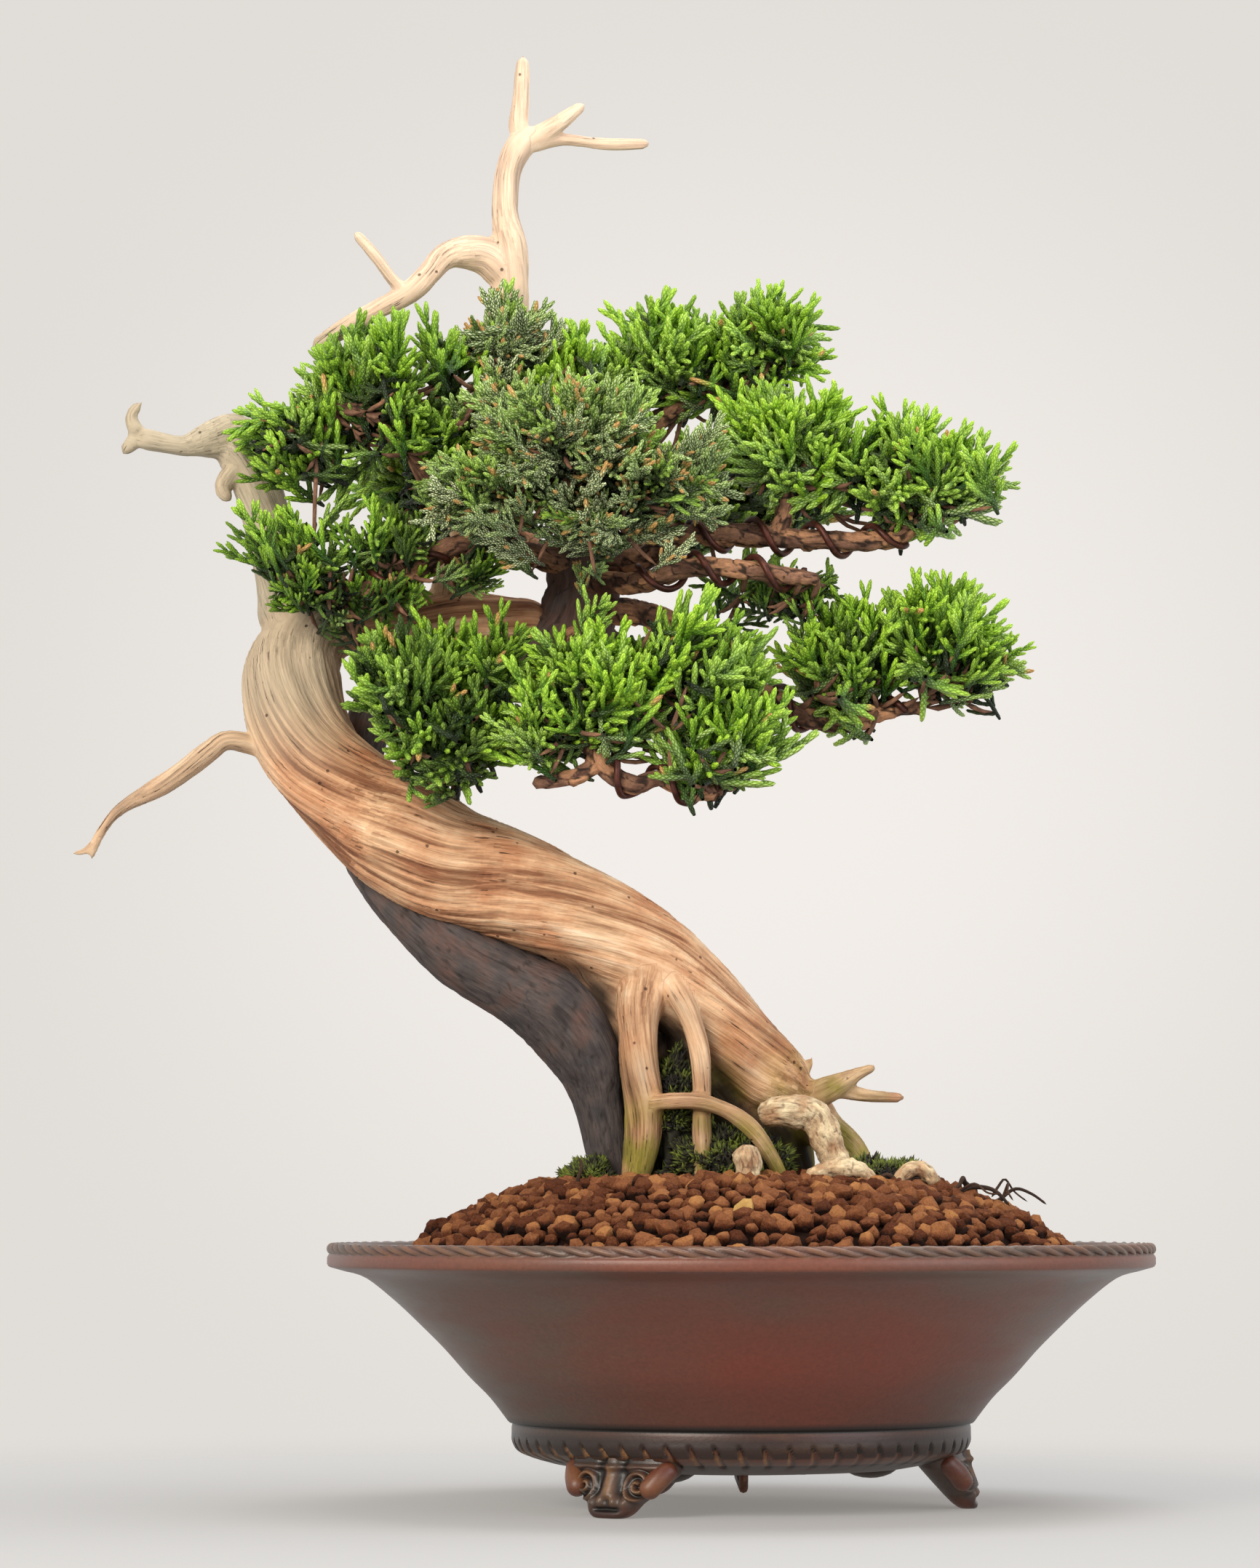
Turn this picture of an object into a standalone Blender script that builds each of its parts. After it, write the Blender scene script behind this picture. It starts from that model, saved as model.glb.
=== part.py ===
"""A juniper bonsai in a round unglazed pot, as separate solids. Metres, +Z up, front towards -Y.

Every point list below is in millimetres from the pot's axis at the ground: (x, y, z, radius).
"""

import math

import bmesh
import bpy
from mathutils import Vector, noise

MM = 0.001
GAP = 0.3
SEGMENTS = 36

# The pot's axis stands this far from the frame's origin, which is the middle of the whole base.
AXIS_X = 28.3

# Pot
RIM_R = 90.0
LIP_TOP = 56.9
LIP_BOTTOM = 51.8
LIP_WIDTH = 6.5
BAND_R = 49.8
BAND_TOP = 18.2
BAND_BOTTOM = 10.9
WALL = 5.0
UNDERSIDE = 8.0
FLOOR = 5.5
DRAIN_R = 11.0
TIE_HOLE_R = 2.0
TIE_HOLE_Y = 24.0
WALL_SHAPE = [(0.0, 0.0), (0.1, 0.15), (0.22, 0.29), (0.35, 0.46), (0.47, 0.6),
              (0.63, 0.775), (0.8, 0.93), (0.93, 0.977), (1.0, 1.0)]

# Feet: three broad scroll feet that flare outwards
FOOT_ANGLES = [235.0, 355.0, 115.0]
FOOT_RINGS = [(13.5, 41.0, 27.0, 11.5), (9.0, 42.5, 26.0, 10.0), (6.0, 44.5, 20.0, 8.5),
              (3.0, 46.5, 13.0, 6.8), (0.0, 48.7, 9.5, 4.8)]
BRACKET_R = 6.5
BRACKET_REACH = 28.0
BRACKET_BOTTOM = 6.3

# Soil, drainage and tie-down
SOIL_PROFILE = [(0.0, 70.6), (20.0, 70.2), (43.0, 69.3), (49.0, 67.3), (57.0, 64.0), (65.0, 60.3),
                (70.0, 56.0)]
SOIL_EDGE_Z = 51.5
MESH_SIDE = 27.0
MESH_CELLS = 9
MESH_THICK = 0.8
CLIP_D = 1.0
TIE_D = 2.0
TIE_TOP = 52.0

WIRE_D = 1.5
WIRE_PITCH = 13.0
WIRE_CLEAR = 0.75

# Trunk: weathered dead wood, grown as one piece with its dead limbs and root legs
TRUNK_MAIN = [(15, 1, 87, 5.7), (6.5, 1, 92.5, 8.9), (-1.5, 0, 101, 8.9), (-10.5, 0, 110, 9.5),
              (-20.5, 0, 118.5, 10.8), (-35.5, -1, 127.5, 11.4), (-50.5, -2, 134, 12.3),
              (-64.5, -3, 139, 13.3), (-75, -3, 146.5, 13.3), (-85, -2, 154, 11.5),
              (-93.5, -1, 162.5, 11.1), (-97.5, 1, 172, 10.9), (-98, 3, 183, 10.6),
              (-94, 5, 191, 9), (-85.5, 7, 194.5, 7.2), (-74, 8, 194, 6.4), (-61.5, 8, 194.5, 6.4),
              (-50, 8, 193, 6.7), (-41, 8, 192, 7)]
ROOT_CORE = [(3, 12, 58, 14), (2, 12, 74.5, 14.5), (0, 10, 85.5, 13.6), (-5, 6, 96.5, 11.2),
             (-12.5, 2, 107.5, 9.5)]
LIMBS = {
    "right_root": [(11.5, 3, 90, 5.4), (18, 3, 82, 4.8), (24, 2, 76, 4.1), (29.5, 1, 66, 2.9)],
    "left_leg": [(-20.5, -5, 114.5, 6.3), (-22.5, -8, 105.5, 4.7), (-22, -9, 94.5, 4.2),
                 (-21, -9, 85, 4.4), (-22, -9, 75.5, 3.8), (-24, -9, 66, 1.9)],
    "middle_leg": [(-15, -8, 113.5, 2.8), (-11.5, -11, 106.5, 2.4), (-9, -12, 98.5, 2.2),
                   (-8.5, -12, 89.5, 2), (-8.5, -11, 80.5, 2), (-8.5, -10, 66, 1.6)],
    "crossing_root": [(-21, -11, 87, 2), (-11, -14, 87.5, 2), (-4.5, -15, 86, 2),
                      (1, -15, 82.5, 2.2), (5.5, -14, 77, 2), (10.5, -13, 67, 1.4)],
    "right_jin": [(12.5, 0, 87.5, 3.8), (19.5, -2, 90.5, 3), (25, -2, 93.5, 1.7), (30, -2, 95.5, 0.9)],
    "low_right_jin": [(16, -1, 90, 2), (21, -1, 90.3, 1.9), (27.5, 0, 89, 1.4), (36, 0, 88.5, 1)],
    "spike_a": [(5, 2, 96, 3.2), (9.5, 2, 102.2, 1)],
    "spike_b": [(12, 3, 91, 2.5), (16, 3, 97.7, 0.8)],
    "horn": [(-98, 4, 189.5, 8.3), (-101, 6, 204, 6.1), (-104.5, 7, 216.5, 5.4), (-107.5, 7, 227, 5.7),
             (-112, 6, 234.5, 6), (-117.5, 4, 234, 4.1), (-123, 3, 232.5, 2.4), (-129, 3, 233.5, 2.4),
             (-133, 3, 234.5, 2.8)],
    "horn_up": [(-132.5, 3, 234.5, 2), (-134.5, 3, 239, 1.4), (-132, 3, 242.5, 1)],
    "horn_down": [(-132.5, 3, 234.5, 2), (-135, 3, 232.5, 1.7), (-136.5, 3, 230.5, 1)],
    "horn_stub": [(-108.5, 5, 230, 3), (-114, 3, 223.5, 1.9), (-112, 2, 220, 1.1)],
    "low_left_jin": [(-94, -1, 164, 3.5), (-104, -2, 165, 2.3), (-112, -4, 166.5, 2.2),
                     (-116, -5, 164, 2.2), (-121, -6, 160, 2.4), (-126, -6, 156.5, 2.4),
                     (-132.5, -6, 153, 1.6), (-136, -6, 150.5, 1.3), (-138.5, -6, 147.5, 1.1),
                     (-140.5, -6, 144, 1.1), (-141.5, -6, 140, 0.6)],
    "low_left_fork": [(-140, -6, 144.5, 1.1), (-143, -6, 142, 0.8), (-146, -6, 141.5, 0.6)],
    "leader": [(-64.5, 8, 194, 5.4), (-62, 10, 203, 5.3), (-59, 12, 218, 5.1), (-56.5, 13, 234.5, 5),
               (-53.5, 12, 252.5, 4.6), (-51, 10, 268.5, 4.3), (-51, 9, 278, 3.8),
               (-52, 8, 286.5, 3), (-51.5, 8, 294, 3), (-49.5, 8, 299.5, 3.2), (-46.5, 8, 303.5, 2.8)],
    "leader_tip": [(-47.5, 8, 301.5, 2.5), (-49, 8, 305.5, 2.1), (-48.5, 8, 312.5, 1.8),
                   (-48, 8, 321.5, 1.4)],
    "leader_jin_a": [(-47.5, 8, 301.5, 2.5), (-40.5, 7, 305.5, 1.9), (-34, 6, 310, 1)],
    "leader_jin_b": [(-47, 8, 301, 2.2), (-39.5, 9, 302.5, 1.4), (-30, 9, 301.5, 1.3),
                     (-19.5, 9, 301.5, 1.1)],
    "left_arm": [(-51, 10, 270, 4.2), (-55, 9, 275.5, 4.2), (-59.5, 8, 277, 4), (-65, 7, 276, 3.2),
                 (-69, 6, 271.5, 2.7), (-73.5, 5, 267, 2.4), (-80, 5, 263.5, 2.2),
                 (-87, 5, 259.5, 2.1), (-94.5, 5, 254.5, 1.6)],
    "arm_jin": [(-73, 5, 266.5, 1.9), (-76.5, 4, 269.5, 1.4), (-81, 3, 275.5, 1.3),
                (-85.5, 2, 280.5, 1.1)],
}

# Living wood: the bark-covered vein that feeds the crown, from the soil up the trunk's back
LIVE_VEIN = [(-26.5, 2, 64, 4.8), (-28.5, 1, 76.5, 5.4), (-30.5, 0, 87.5, 6), (-33, -1, 97, 8.2),
             (-40, -2, 107, 9.2), (-50.5, -3, 113.5, 7.6), (-61, -3, 119.5, 7),
             (-69.5, -2, 126.5, 6), (-78, 4, 135, 5), (-84, 13, 146.5, 5), (-85, 16, 158.5, 5),
             (-83, 15, 169, 5), (-79, 12, 178.5, 5.2), (-72, 9, 184, 5.4), (-60.5, 8, 184, 6.4),
             (-48.5, 8, 184.5, 7.7), (-38, 8, 190, 8.4), (-34.5, 7, 199.5, 8), (-34.5, 6, 209, 7),
             (-34.5, 6, 214, 6.1)]
LIVE_ROOTS = {
    "live_root_knotted": [(4, -9, 84, 2.6), (9, -11, 85.5, 3.1), (15, -9, 84.5, 3.3), (18.5, -9, 79, 3.2),
                          (20.5, -9, 74, 2.8), (22, -8, 66, 2.2)],
    "live_root_stub": [(0, -19, 78, 2.4), (1, -20, 74, 2.6), (0.5, -19, 66, 2)],
    "surface_root_left": [(13.5, -20, 67, 1.6), (15.5, -20.5, 71.5, 1.6), (21, -21, 73.2, 1.7),
                          (26, -20, 71.6, 1.5), (30, -19, 66, 1.2)],
    "surface_root_right": [(32.5, -18, 66, 1.3), (34, -18, 71, 1.4), (37.5, -17, 73, 1.4),
                           (41, -16, 70.5, 1.3), (43, -15, 64, 1)],
}

# Branches in the order in which they leave the crown: points, and the degrees at which a training
# wire starts round the branch, or None for one without a wire
BRANCHES = {
    "branch_top": ([(-34.5, 5, 207, 3.8), (-39.5, 2, 220, 3), (-46, 0, 232.5, 2.5), (-51, -2, 244, 2.1),
                    (-52.5, -3, 252.5, 1.4)], None),
    "branch_left": ([(-34.5, 4, 206, 2.9), (-44.5, 0, 207.5, 2.4), (-56, -6, 209.5, 2.2),
                     (-65.5, -8, 207.5, 2.2), (-70.5, -10, 202.5, 2), (-78.5, -12, 199.5, 1.9),
                     (-87.5, -12, 198.5, 1.6), (-97, -12, 199.5, 1.1)], 0),
    "branch_right": ([(-34, 4, 207, 3.2), (-22, -2, 206.5, 2.5), (-14, -6, 211, 2.2),
                      (-3.5, -8, 211.5, 2.2), (10.5, -8, 210.5, 2), (21.5, -8, 210, 1.9),
                      (32, -8, 210, 1.6), (39, -8, 213.5, 1.1)], 200),
    "branch_right_low": ([(-34, 2, 202, 2.5), (-22, -10, 200.5, 2), (-12, -16, 203, 1.9),
                          (0, -17, 202.5, 1.7), (10.5, -17, 201, 1.6), (17, -17, 200.5, 1.1)], 0),
    "branch_low_right": ([(-33, 6, 196.5, 2.9), (-21, 2, 195, 2.5), (-10.5, -3, 189, 2.4),
                          (0.5, -6, 179.5, 2.2), (11, -6, 173, 2), (17, -6, 170.5, 1.9),
                          (25, -6, 170, 1.7), (31, -6, 172.5, 1.4), (40.5, -6, 173.5, 1.1)], 0),
    "branch_low_front": ([(-36.5, 2, 190, 2.5), (-34.5, -14, 184.5, 2.2), (-32.5, -24, 170.5, 1.9),
                          (-30.5, -28, 159.5, 1.9), (-23.5, -28, 155, 1.7), (-18, -28, 156, 1.5),
                          (-11.5, -28, 153.5, 1.4), (-5.5, -28, 153, 1.1)], 0),
    "branch_low_left": ([(-41.5, 2, 186.5, 2.5), (-46.5, -12, 179.5, 2), (-56.5, -18, 172, 1.9),
                         (-67.5, -20, 168, 1.6), (-78.5, -20, 166.5, 1.1)], None),
    "branch_front": ([(-34.5, 2, 211, 2.9), (-31, -12, 216, 2.2), (-33.5, -22, 222.5, 1.9),
                      (-38, -26, 229.5, 1.2)], None),
    "branch_back_left": ([(-35.5, 9, 205.5, 2.9), (-45, 26, 212, 2.4), (-58, 38, 222, 2),
                          (-71.5, 42, 230, 1.3)], None),
    "branch_back_right": ([(-33, 9, 206.5, 2.9), (-20, 28, 213, 2.4), (-7, 40, 222, 2),
                           (6.5, 44, 230, 1.3)], None),
    "branch_back_low": ([(-34, 12, 193, 2.6), (-28.5, 26, 192, 2.1), (-18.5, 38, 186.5, 1.8),
                         (-8.5, 42, 184, 1.3)], None),
}
SIDE_SHOOTS = {
    "branch_top": [[(-39.5, 2, 220, 2.3), (-26.5, 5, 231.5, 2.2), (-13.5, 8, 242, 1.9),
                    (-0.5, 10, 251, 1.6), (10.5, 10, 257, 1.1)],
                   [(-41, 2, 223, 2.2), (-54, -4, 227, 2.1), (-66.5, -8, 233, 1.7),
                    (-79, -10, 237.5, 1.6), (-90, -10, 239, 1.1)]],
    "branch_right": [[(8, -8, 210.5, 1.7), (9.8, -8.5, 217, 1.6), (9.8, -9, 222, 1.5)]],
    "branch_low_front": [[(-30.5, -28, 159.5, 1.7), (-36, -28, 156.5, 1.4), (-45, -28, 155, 1.1)]],
}

# Foliage pads: centre, half sizes and a seed for the outline's lobes
PADS = {
    "foliage_top": ((-50.5, 0, 250.5), (17, 24, 18), 3),
    "foliage_top_right": ((-5, 9, 256.5), (29, 24, 13.5), 7),
    "foliage_top_left": ((-85, -6, 238), (26, 24, 16.5), 11),
    "foliage_front": ((-34, -26, 223), (31, 21, 19), 13),
    "foliage_right": ((30.5, -6, 231.5), (31, 26, 17.5), 17),
    "foliage_left": ((-92, -13, 203.5), (23.5, 20, 12.5), 19),
    "foliage_low_left": ((-69, -23, 171.5), (22, 19, 19), 23),
    "foliage_low_middle": ((-36.5, -29, 177.5), (18.5, 17, 17), 29),
    "foliage_low_right": ((-6, -24, 175.5), (19.5, 19, 18.5), 31),
    "foliage_far_right": ((36.5, -7, 186.5), (26.5, 23, 16), 37),
    "foliage_under_right": ((9, 4, 199.5), (15, 12, 5.5), 41),
    "foliage_back_left": ((-66, 42, 229), (24, 19, 14), 43),
    "foliage_back_right": ((4, 44, 229), (27, 19, 14), 47),
    "foliage_back_low": ((-12, 42, 183), (24, 18, 12), 53),
}
LOBE_DEPTH = 0.13
LOBE_SIZE = 1.7

# Moss: the same, where it grows on the soil round the trunk's foot and inside its hollow
MOSS = {
    "moss_left": ((-33, -4, 70.8), (5.5, 6.5, 4.2), 6),
    "moss_middle": ((-3, -8.5, 75), (15, 6.5, 11), 9),
    "moss_right": ((29, -9, 70.5), (12, 7, 4.5), 15),
}


# ---------------------------------------------------------------- scene and materials

def clear_scene():
    for old in list(bpy.data.objects):
        bpy.data.objects.remove(old, do_unlink=True)


def new_collection(name):
    found = bpy.data.collections.new(name)
    bpy.context.scene.collection.children.link(found)
    return found


def linear(channel):
    if channel <= 0.04045:
        return channel / 12.92
    return ((channel + 0.055) / 1.055) ** 2.4


def material(name, hex_colour, roughness, metallic=0.0):
    made = bpy.data.materials.new(name)
    made.use_nodes = True
    shader = made.node_tree.nodes["Principled BSDF"]
    rgb = [linear(int(hex_colour[i:i + 2], 16) / 255) for i in (0, 2, 4)]
    shader.inputs["Base Color"].default_value = (*rgb, 1.0)
    shader.inputs["Roughness"].default_value = roughness
    shader.inputs["Metallic"].default_value = metallic
    return made


# ---------------------------------------------------------------- shapes

def add_object(name, mesh, dress, collection, axis):
    made = bpy.data.objects.new(name, mesh)
    collection.objects.link(made)
    made.parent = axis
    if dress:
        mesh.materials.append(dress)
    return made


def as_cutter(made):
    made.hide_render = True
    made.display_type = "WIRE"
    return made


def smooth_route(points, steps):
    """Points on a Catmull-Rom curve through the given ones, radius included."""
    ends = [points[0], *points, points[-1]]
    route = []
    for p0, p1, p2, p3 in zip(ends, ends[1:], ends[2:], ends[3:]):
        for step in range(steps):
            t = step / steps
            route.append(tuple(
                0.5 * (2 * b + (c - a) * t + (2 * a - 5 * b + 4 * c - d) * t * t
                       + (3 * b - a - 3 * c + d) * t ** 3)
                for a, b, c, d in zip(p0, p1, p2, p3)))
    return [*route, tuple(points[-1])]


def mesh_of_curve(curve):
    """The curve's surface as a mesh whose caps are welded to its sides."""
    holder = bpy.data.objects.new("curve", curve)
    bpy.context.scene.collection.objects.link(holder)
    graph = bpy.context.evaluated_depsgraph_get()
    mesh = bpy.data.meshes.new_from_object(holder.evaluated_get(graph))
    bpy.data.objects.remove(holder)
    work = bmesh.new()
    work.from_mesh(mesh)
    bmesh.ops.remove_doubles(work, verts=work.verts, dist=1e-6)
    bmesh.ops.recalc_face_normals(work, faces=work.faces)
    work.to_mesh(mesh)
    work.free()
    mesh.materials.clear()
    return mesh


def tube_mesh(points, grow=0.0, steps=1, resolution=2):
    """A closed round tube through the points, each radius grown by the same amount."""
    route = smooth_route(points, steps)
    curve = bpy.data.curves.new("route", "CURVE")
    curve.dimensions = "3D"
    curve.bevel_depth = 1.0
    curve.bevel_resolution = resolution
    curve.use_fill_caps = True
    spline = curve.splines.new("POLY")
    spline.points.add(len(route) - 1)
    for place, (x, y, z, radius) in zip(spline.points, route):
        place.co = (x * MM, y * MM, z * MM, 1.0)
        place.radius = (radius + grow) * MM
    if grow:
        stretch_ends(spline, grow * MM)
    return mesh_of_curve(curve)


def stretch_ends(spline, length):
    """Moves both ends of a route outwards, so that a grown tube clears the plain one all round."""
    for end, inner in ((0, 1), (-1, -2)):
        here = Vector(spline.points[end].co[:3])
        away = (here - Vector(spline.points[inner].co[:3])).normalized()
        spline.points[end].co = (*(here + away * length), 1.0)


def turned(name, profile, dress, collection, axis):
    """A profile of (radius, height), outer side top to bottom, turned about the axis."""
    mesh = bpy.data.meshes.new(name)
    points = [(r * MM, 0.0, z * MM) for r, z in profile]
    mesh.from_pydata(points, [(i, i + 1) for i in range(len(points) - 1)], [])
    made = add_object(name, mesh, dress, collection, axis)
    screw = made.modifiers.new("turn", "SCREW")
    screw.steps = SEGMENTS
    screw.render_steps = SEGMENTS
    screw.use_merge_vertices = True
    screw.merge_threshold = 1e-6
    return made


def lump(name, centre, sizes, seed, dress, collection, axis, grow=0.0, depth=LOBE_DEPTH, sides=12):
    """A lobed ellipsoid for a mass of foliage or moss."""
    work = bmesh.new()
    bmesh.ops.create_uvsphere(work, u_segments=sides, v_segments=sides * 2 // 3, radius=1.0)
    bmesh.ops.triangulate(work, faces=work.faces)
    for vert in work.verts:
        way = vert.co.normalized()
        lobe = noise.noise(way * LOBE_SIZE + Vector((seed, seed * 0.5, -seed)))
        place = [c + (s * (1 + depth * lobe) + grow) * w for c, s, w in zip(centre, sizes, way)]
        vert.co = Vector(place) * MM
    mesh = bpy.data.meshes.new(name)
    work.to_mesh(mesh)
    work.free()
    return add_object(name, mesh, dress, collection, axis)


def box_of(thing):
    corners = [vert.co for vert in thing.data.vertices]
    low = [min(corner[i] for corner in corners) for i in range(3)]
    high = [max(corner[i] for corner in corners) for i in range(3)]
    return low, high


def boxes_touch(first, second):
    (low_a, high_a), (low_b, high_b) = box_of(first), box_of(second)
    return all(a <= d and b <= c for a, b, c, d in zip(low_a, low_b, high_a, high_b))


def boolean(target, tool, operation="DIFFERENCE"):
    change = target.modifiers.new(tool.name, "BOOLEAN")
    change.operation = operation
    change.solver = "EXACT"
    change.object = tool


def cut_by(target, tools):
    for tool in tools:
        if boxes_touch(target, tool):
            boolean(target, tool)


# ---------------------------------------------------------------- the pot

def wall_points():
    """The outer wall from the band up to the lip, as (radius, height)."""
    low_r, low_z = BAND_R + 0.9, BAND_TOP + 0.5
    return [(low_r + (RIM_R - 0.8 - low_r) * r, low_z + (LIP_BOTTOM - low_z) * z) for r, z in WALL_SHAPE]


def cavity_points(inset=0.0):
    """The inside from the floor's middle up the wall, moved in from the pot's own by the inset."""
    floor_z = UNDERSIDE + FLOOR + inset
    outer = wall_points()
    inner = []
    for before, (r, z), after in zip(outer, outer[1:], outer[2:-1]):
        along = Vector((after[0] - before[0], after[1] - before[1])).normalized()
        inner.append((r - along.y * (WALL + inset), z + along.x * (WALL + inset)))
    foot_r = inner[0][0]
    return [(0.0, floor_z), (foot_r - 6.0 - inset, floor_z), (foot_r - 1.5 - inset, floor_z + 2.0), *inner]


def pot_profile():
    lip_inner = RIM_R - LIP_WIDTH
    down = [(lip_inner, LIP_TOP - 0.3), (RIM_R - 1.2, LIP_TOP), (RIM_R, LIP_TOP - 1.1),
            (RIM_R, LIP_BOTTOM + 1.3), *reversed(wall_points()),
            (BAND_R, BAND_TOP), (BAND_R, BAND_TOP - 3.6), (BAND_R - 1.4, BAND_BOTTOM + 1.2),
            (BAND_R - 4.2, BAND_BOTTOM), (38.0, UNDERSIDE + 1.0), (30.0, UNDERSIDE), (0.0, UNDERSIDE)]
    return [*down, *cavity_points(), (lip_inner, LIP_TOP - 0.3)]


def foot_mesh(angle):
    """One foot: rounded rectangles from the band down to the ground, flaring outwards."""
    corners = [(-1, -0.6), (-0.6, -1), (0.6, -1), (1, -0.6), (1, 0.6), (0.6, 1), (-0.6, 1), (-1, 0.6)]
    turn = math.radians(angle)
    out, side = Vector((math.cos(turn), math.sin(turn), 0)), Vector((-math.sin(turn), math.cos(turn), 0))
    work = bmesh.new()
    rings = []
    for z, reach, width, thick in FOOT_RINGS:
        rings.append([work.verts.new((out * (reach + thick / 2 * b) + side * width / 2 * a
                                      + Vector((0, 0, z))) * MM) for a, b in corners])
    for upper, lower in zip(rings, rings[1:]):
        for i in range(len(corners)):
            j = (i + 1) % len(corners)
            work.faces.new((upper[i], upper[j], lower[j], lower[i]))
    work.faces.new(rings[0])
    work.faces.new(rings[-1])
    bmesh.ops.recalc_face_normals(work, faces=work.faces)
    mesh = bpy.data.meshes.new("foot")
    work.to_mesh(mesh)
    work.free()
    return mesh


def cylinder_mesh(x, y, low, high, radius, sides=20):
    work = bmesh.new()
    bmesh.ops.create_cone(work, cap_ends=True, segments=sides, radius1=radius * MM, radius2=radius * MM,
                          depth=(high - low) * MM)
    bmesh.ops.translate(work, verts=work.verts, vec=Vector((x, y, (low + high) / 2)) * MM)
    mesh = bpy.data.meshes.new("cylinder")
    work.to_mesh(mesh)
    work.free()
    return mesh


def build_pot(dress, parts, helpers, axis):
    pot = turned("pot", pot_profile(), dress, parts, axis)
    for angle in FOOT_ANGLES:
        foot = as_cutter(add_object(f"foot_{angle:.0f}", foot_mesh(angle), None, helpers, axis))
        boolean(pot, foot, "UNION")
        turn = math.radians(angle)
        middle = UNDERSIDE + FLOOR / 3
        place = (BRACKET_REACH * math.cos(turn), BRACKET_REACH * math.sin(turn), middle)
        sizes = (BRACKET_R, BRACKET_R, middle - BRACKET_BOTTOM)
        bracket = lump(f"bracket_{angle:.0f}", place, sizes, 1, None, helpers, axis, depth=0.0, sides=12)
        boolean(pot, as_cutter(bracket), "UNION")
    for y, radius in ((0.0, DRAIN_R), (-TIE_HOLE_Y, TIE_HOLE_R), (TIE_HOLE_Y, TIE_HOLE_R)):
        drill = cylinder_mesh(0.0, y, 0.0, UNDERSIDE + FLOOR + 4.0, radius)
        boolean(pot, as_cutter(add_object(f"hole_{y:.0f}", drill, None, helpers, axis)))


# ---------------------------------------------------------------- soil, drainage, tie-down

def build_soil(dress, parts, axis):
    side = cavity_points(GAP)
    below = [place for place in side if place[1] < SOIL_EDGE_Z]
    (low_r, low_z), (high_r, high_z) = side[len(below) - 1], side[len(below)]
    edge_r = low_r + (high_r - low_r) * (SOIL_EDGE_Z - low_z) / (high_z - low_z)
    profile = [*SOIL_PROFILE, (edge_r, SOIL_EDGE_Z), *reversed(below)]
    return turned("soil", profile, dress, parts, axis)


def mesh_square(name, dress, parts, axis, side, grow=0.0):
    """Plastic drainage mesh: a square grid sheet over the drain hole."""
    work = bmesh.new()
    bmesh.ops.create_grid(work, x_segments=MESH_CELLS, y_segments=MESH_CELLS, size=side / 2 * MM)
    cell = side / MESH_CELLS
    opened = []
    for face in work.faces:
        middle = face.calc_center_median() / MM
        column, row = (int((c + side / 2) // cell) for c in middle[:2])
        if column % 2 and row % 2:
            opened.append(face)
    bmesh.ops.delete(work, geom=opened, context="FACES")
    mesh = bpy.data.meshes.new(name)
    work.to_mesh(mesh)
    work.free()
    made = add_object(name, mesh, dress, parts, axis)
    made.location = (0, 0, (UNDERSIDE + FLOOR + GAP) * MM)
    thick = made.modifiers.new("thickness", "SOLIDIFY")
    thick.thickness = MESH_THICK * MM
    thick.offset = 1.0
    return made


def mesh_pocket(helpers, axis):
    """Room in the soil's underside for the mesh and the clip that holds it."""
    work = bmesh.new()
    bmesh.ops.create_cube(work, size=1.0)
    low, high = UNDERSIDE, UNDERSIDE + FLOOR + MESH_THICK + CLIP_D + 4 * GAP
    side = MESH_SIDE + 2 * GAP
    for vert in work.verts:
        vert.co = Vector((vert.co.x * side, vert.co.y * side, low if vert.co.z < 0 else high)) * MM
    mesh = bpy.data.meshes.new("mesh_pocket")
    work.to_mesh(mesh)
    work.free()
    return as_cutter(add_object("mesh_pocket", mesh, None, helpers, axis))


def clip_route():
    """A wire bridge over the mesh, down through two of its cells and out under the floor."""
    cell = MESH_SIDE / MESH_CELLS
    half = CLIP_D / 2
    top = UNDERSIDE + FLOOR + MESH_THICK + 2 * GAP + half
    low = UNDERSIDE - GAP - half
    reach, spread, y = 3 * cell, DRAIN_R + 3.0, cell
    left = [(-spread, y, low, half), (-reach - 1.0, y, low, half), (-reach, y, low + 1.0, half),
            (-reach, y, top - 1.0, half), (-reach + 1.0, y, top, half)]
    return [*left, *((-x, y, z, r) for x, y, z, r in reversed(left))]


def tie_route():
    """Tie-down wire: under the floor, up through both tie holes and in over the roots."""
    half = TIE_D / 2
    low = UNDERSIDE - 3 * GAP - CLIP_D - half
    y = TIE_HOLE_Y
    front = [(0, -4, TIE_TOP, half), (0, -y + 4, TIE_TOP, half), (0, -y, TIE_TOP - 4, half),
             (0, -y, low + 2, half), (0, -y + 2, low, half)]
    return [*front, *((x, -y, z, r) for x, y, z, r in reversed(front))]


# ---------------------------------------------------------------- the tree

def build_trunk(dress, parts, helpers, axis):
    trunk = add_object("trunk_deadwood", tube_mesh(TRUNK_MAIN, steps=2, resolution=3), dress, parts, axis)
    sleeves = [as_cutter(add_object("sleeve_trunk_main", tube_mesh(TRUNK_MAIN, GAP, 2, 3), None,
                                    helpers, axis))]
    pieces = {"root_core": ROOT_CORE, **LIMBS}
    for name, points in pieces.items():
        thickest = max(point[3] for point in points)
        fine = 3 if thickest > 5 else 2 if thickest > 2.5 else 1
        limb = as_cutter(add_object(name, tube_mesh(points, resolution=fine), None, helpers, axis))
        boolean(trunk, limb, "UNION")
        sleeve = add_object(f"sleeve_{name}", tube_mesh(points, GAP, resolution=fine), None, helpers, axis)
        sleeves.append(as_cutter(sleeve))
    return trunk, sleeves


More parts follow.
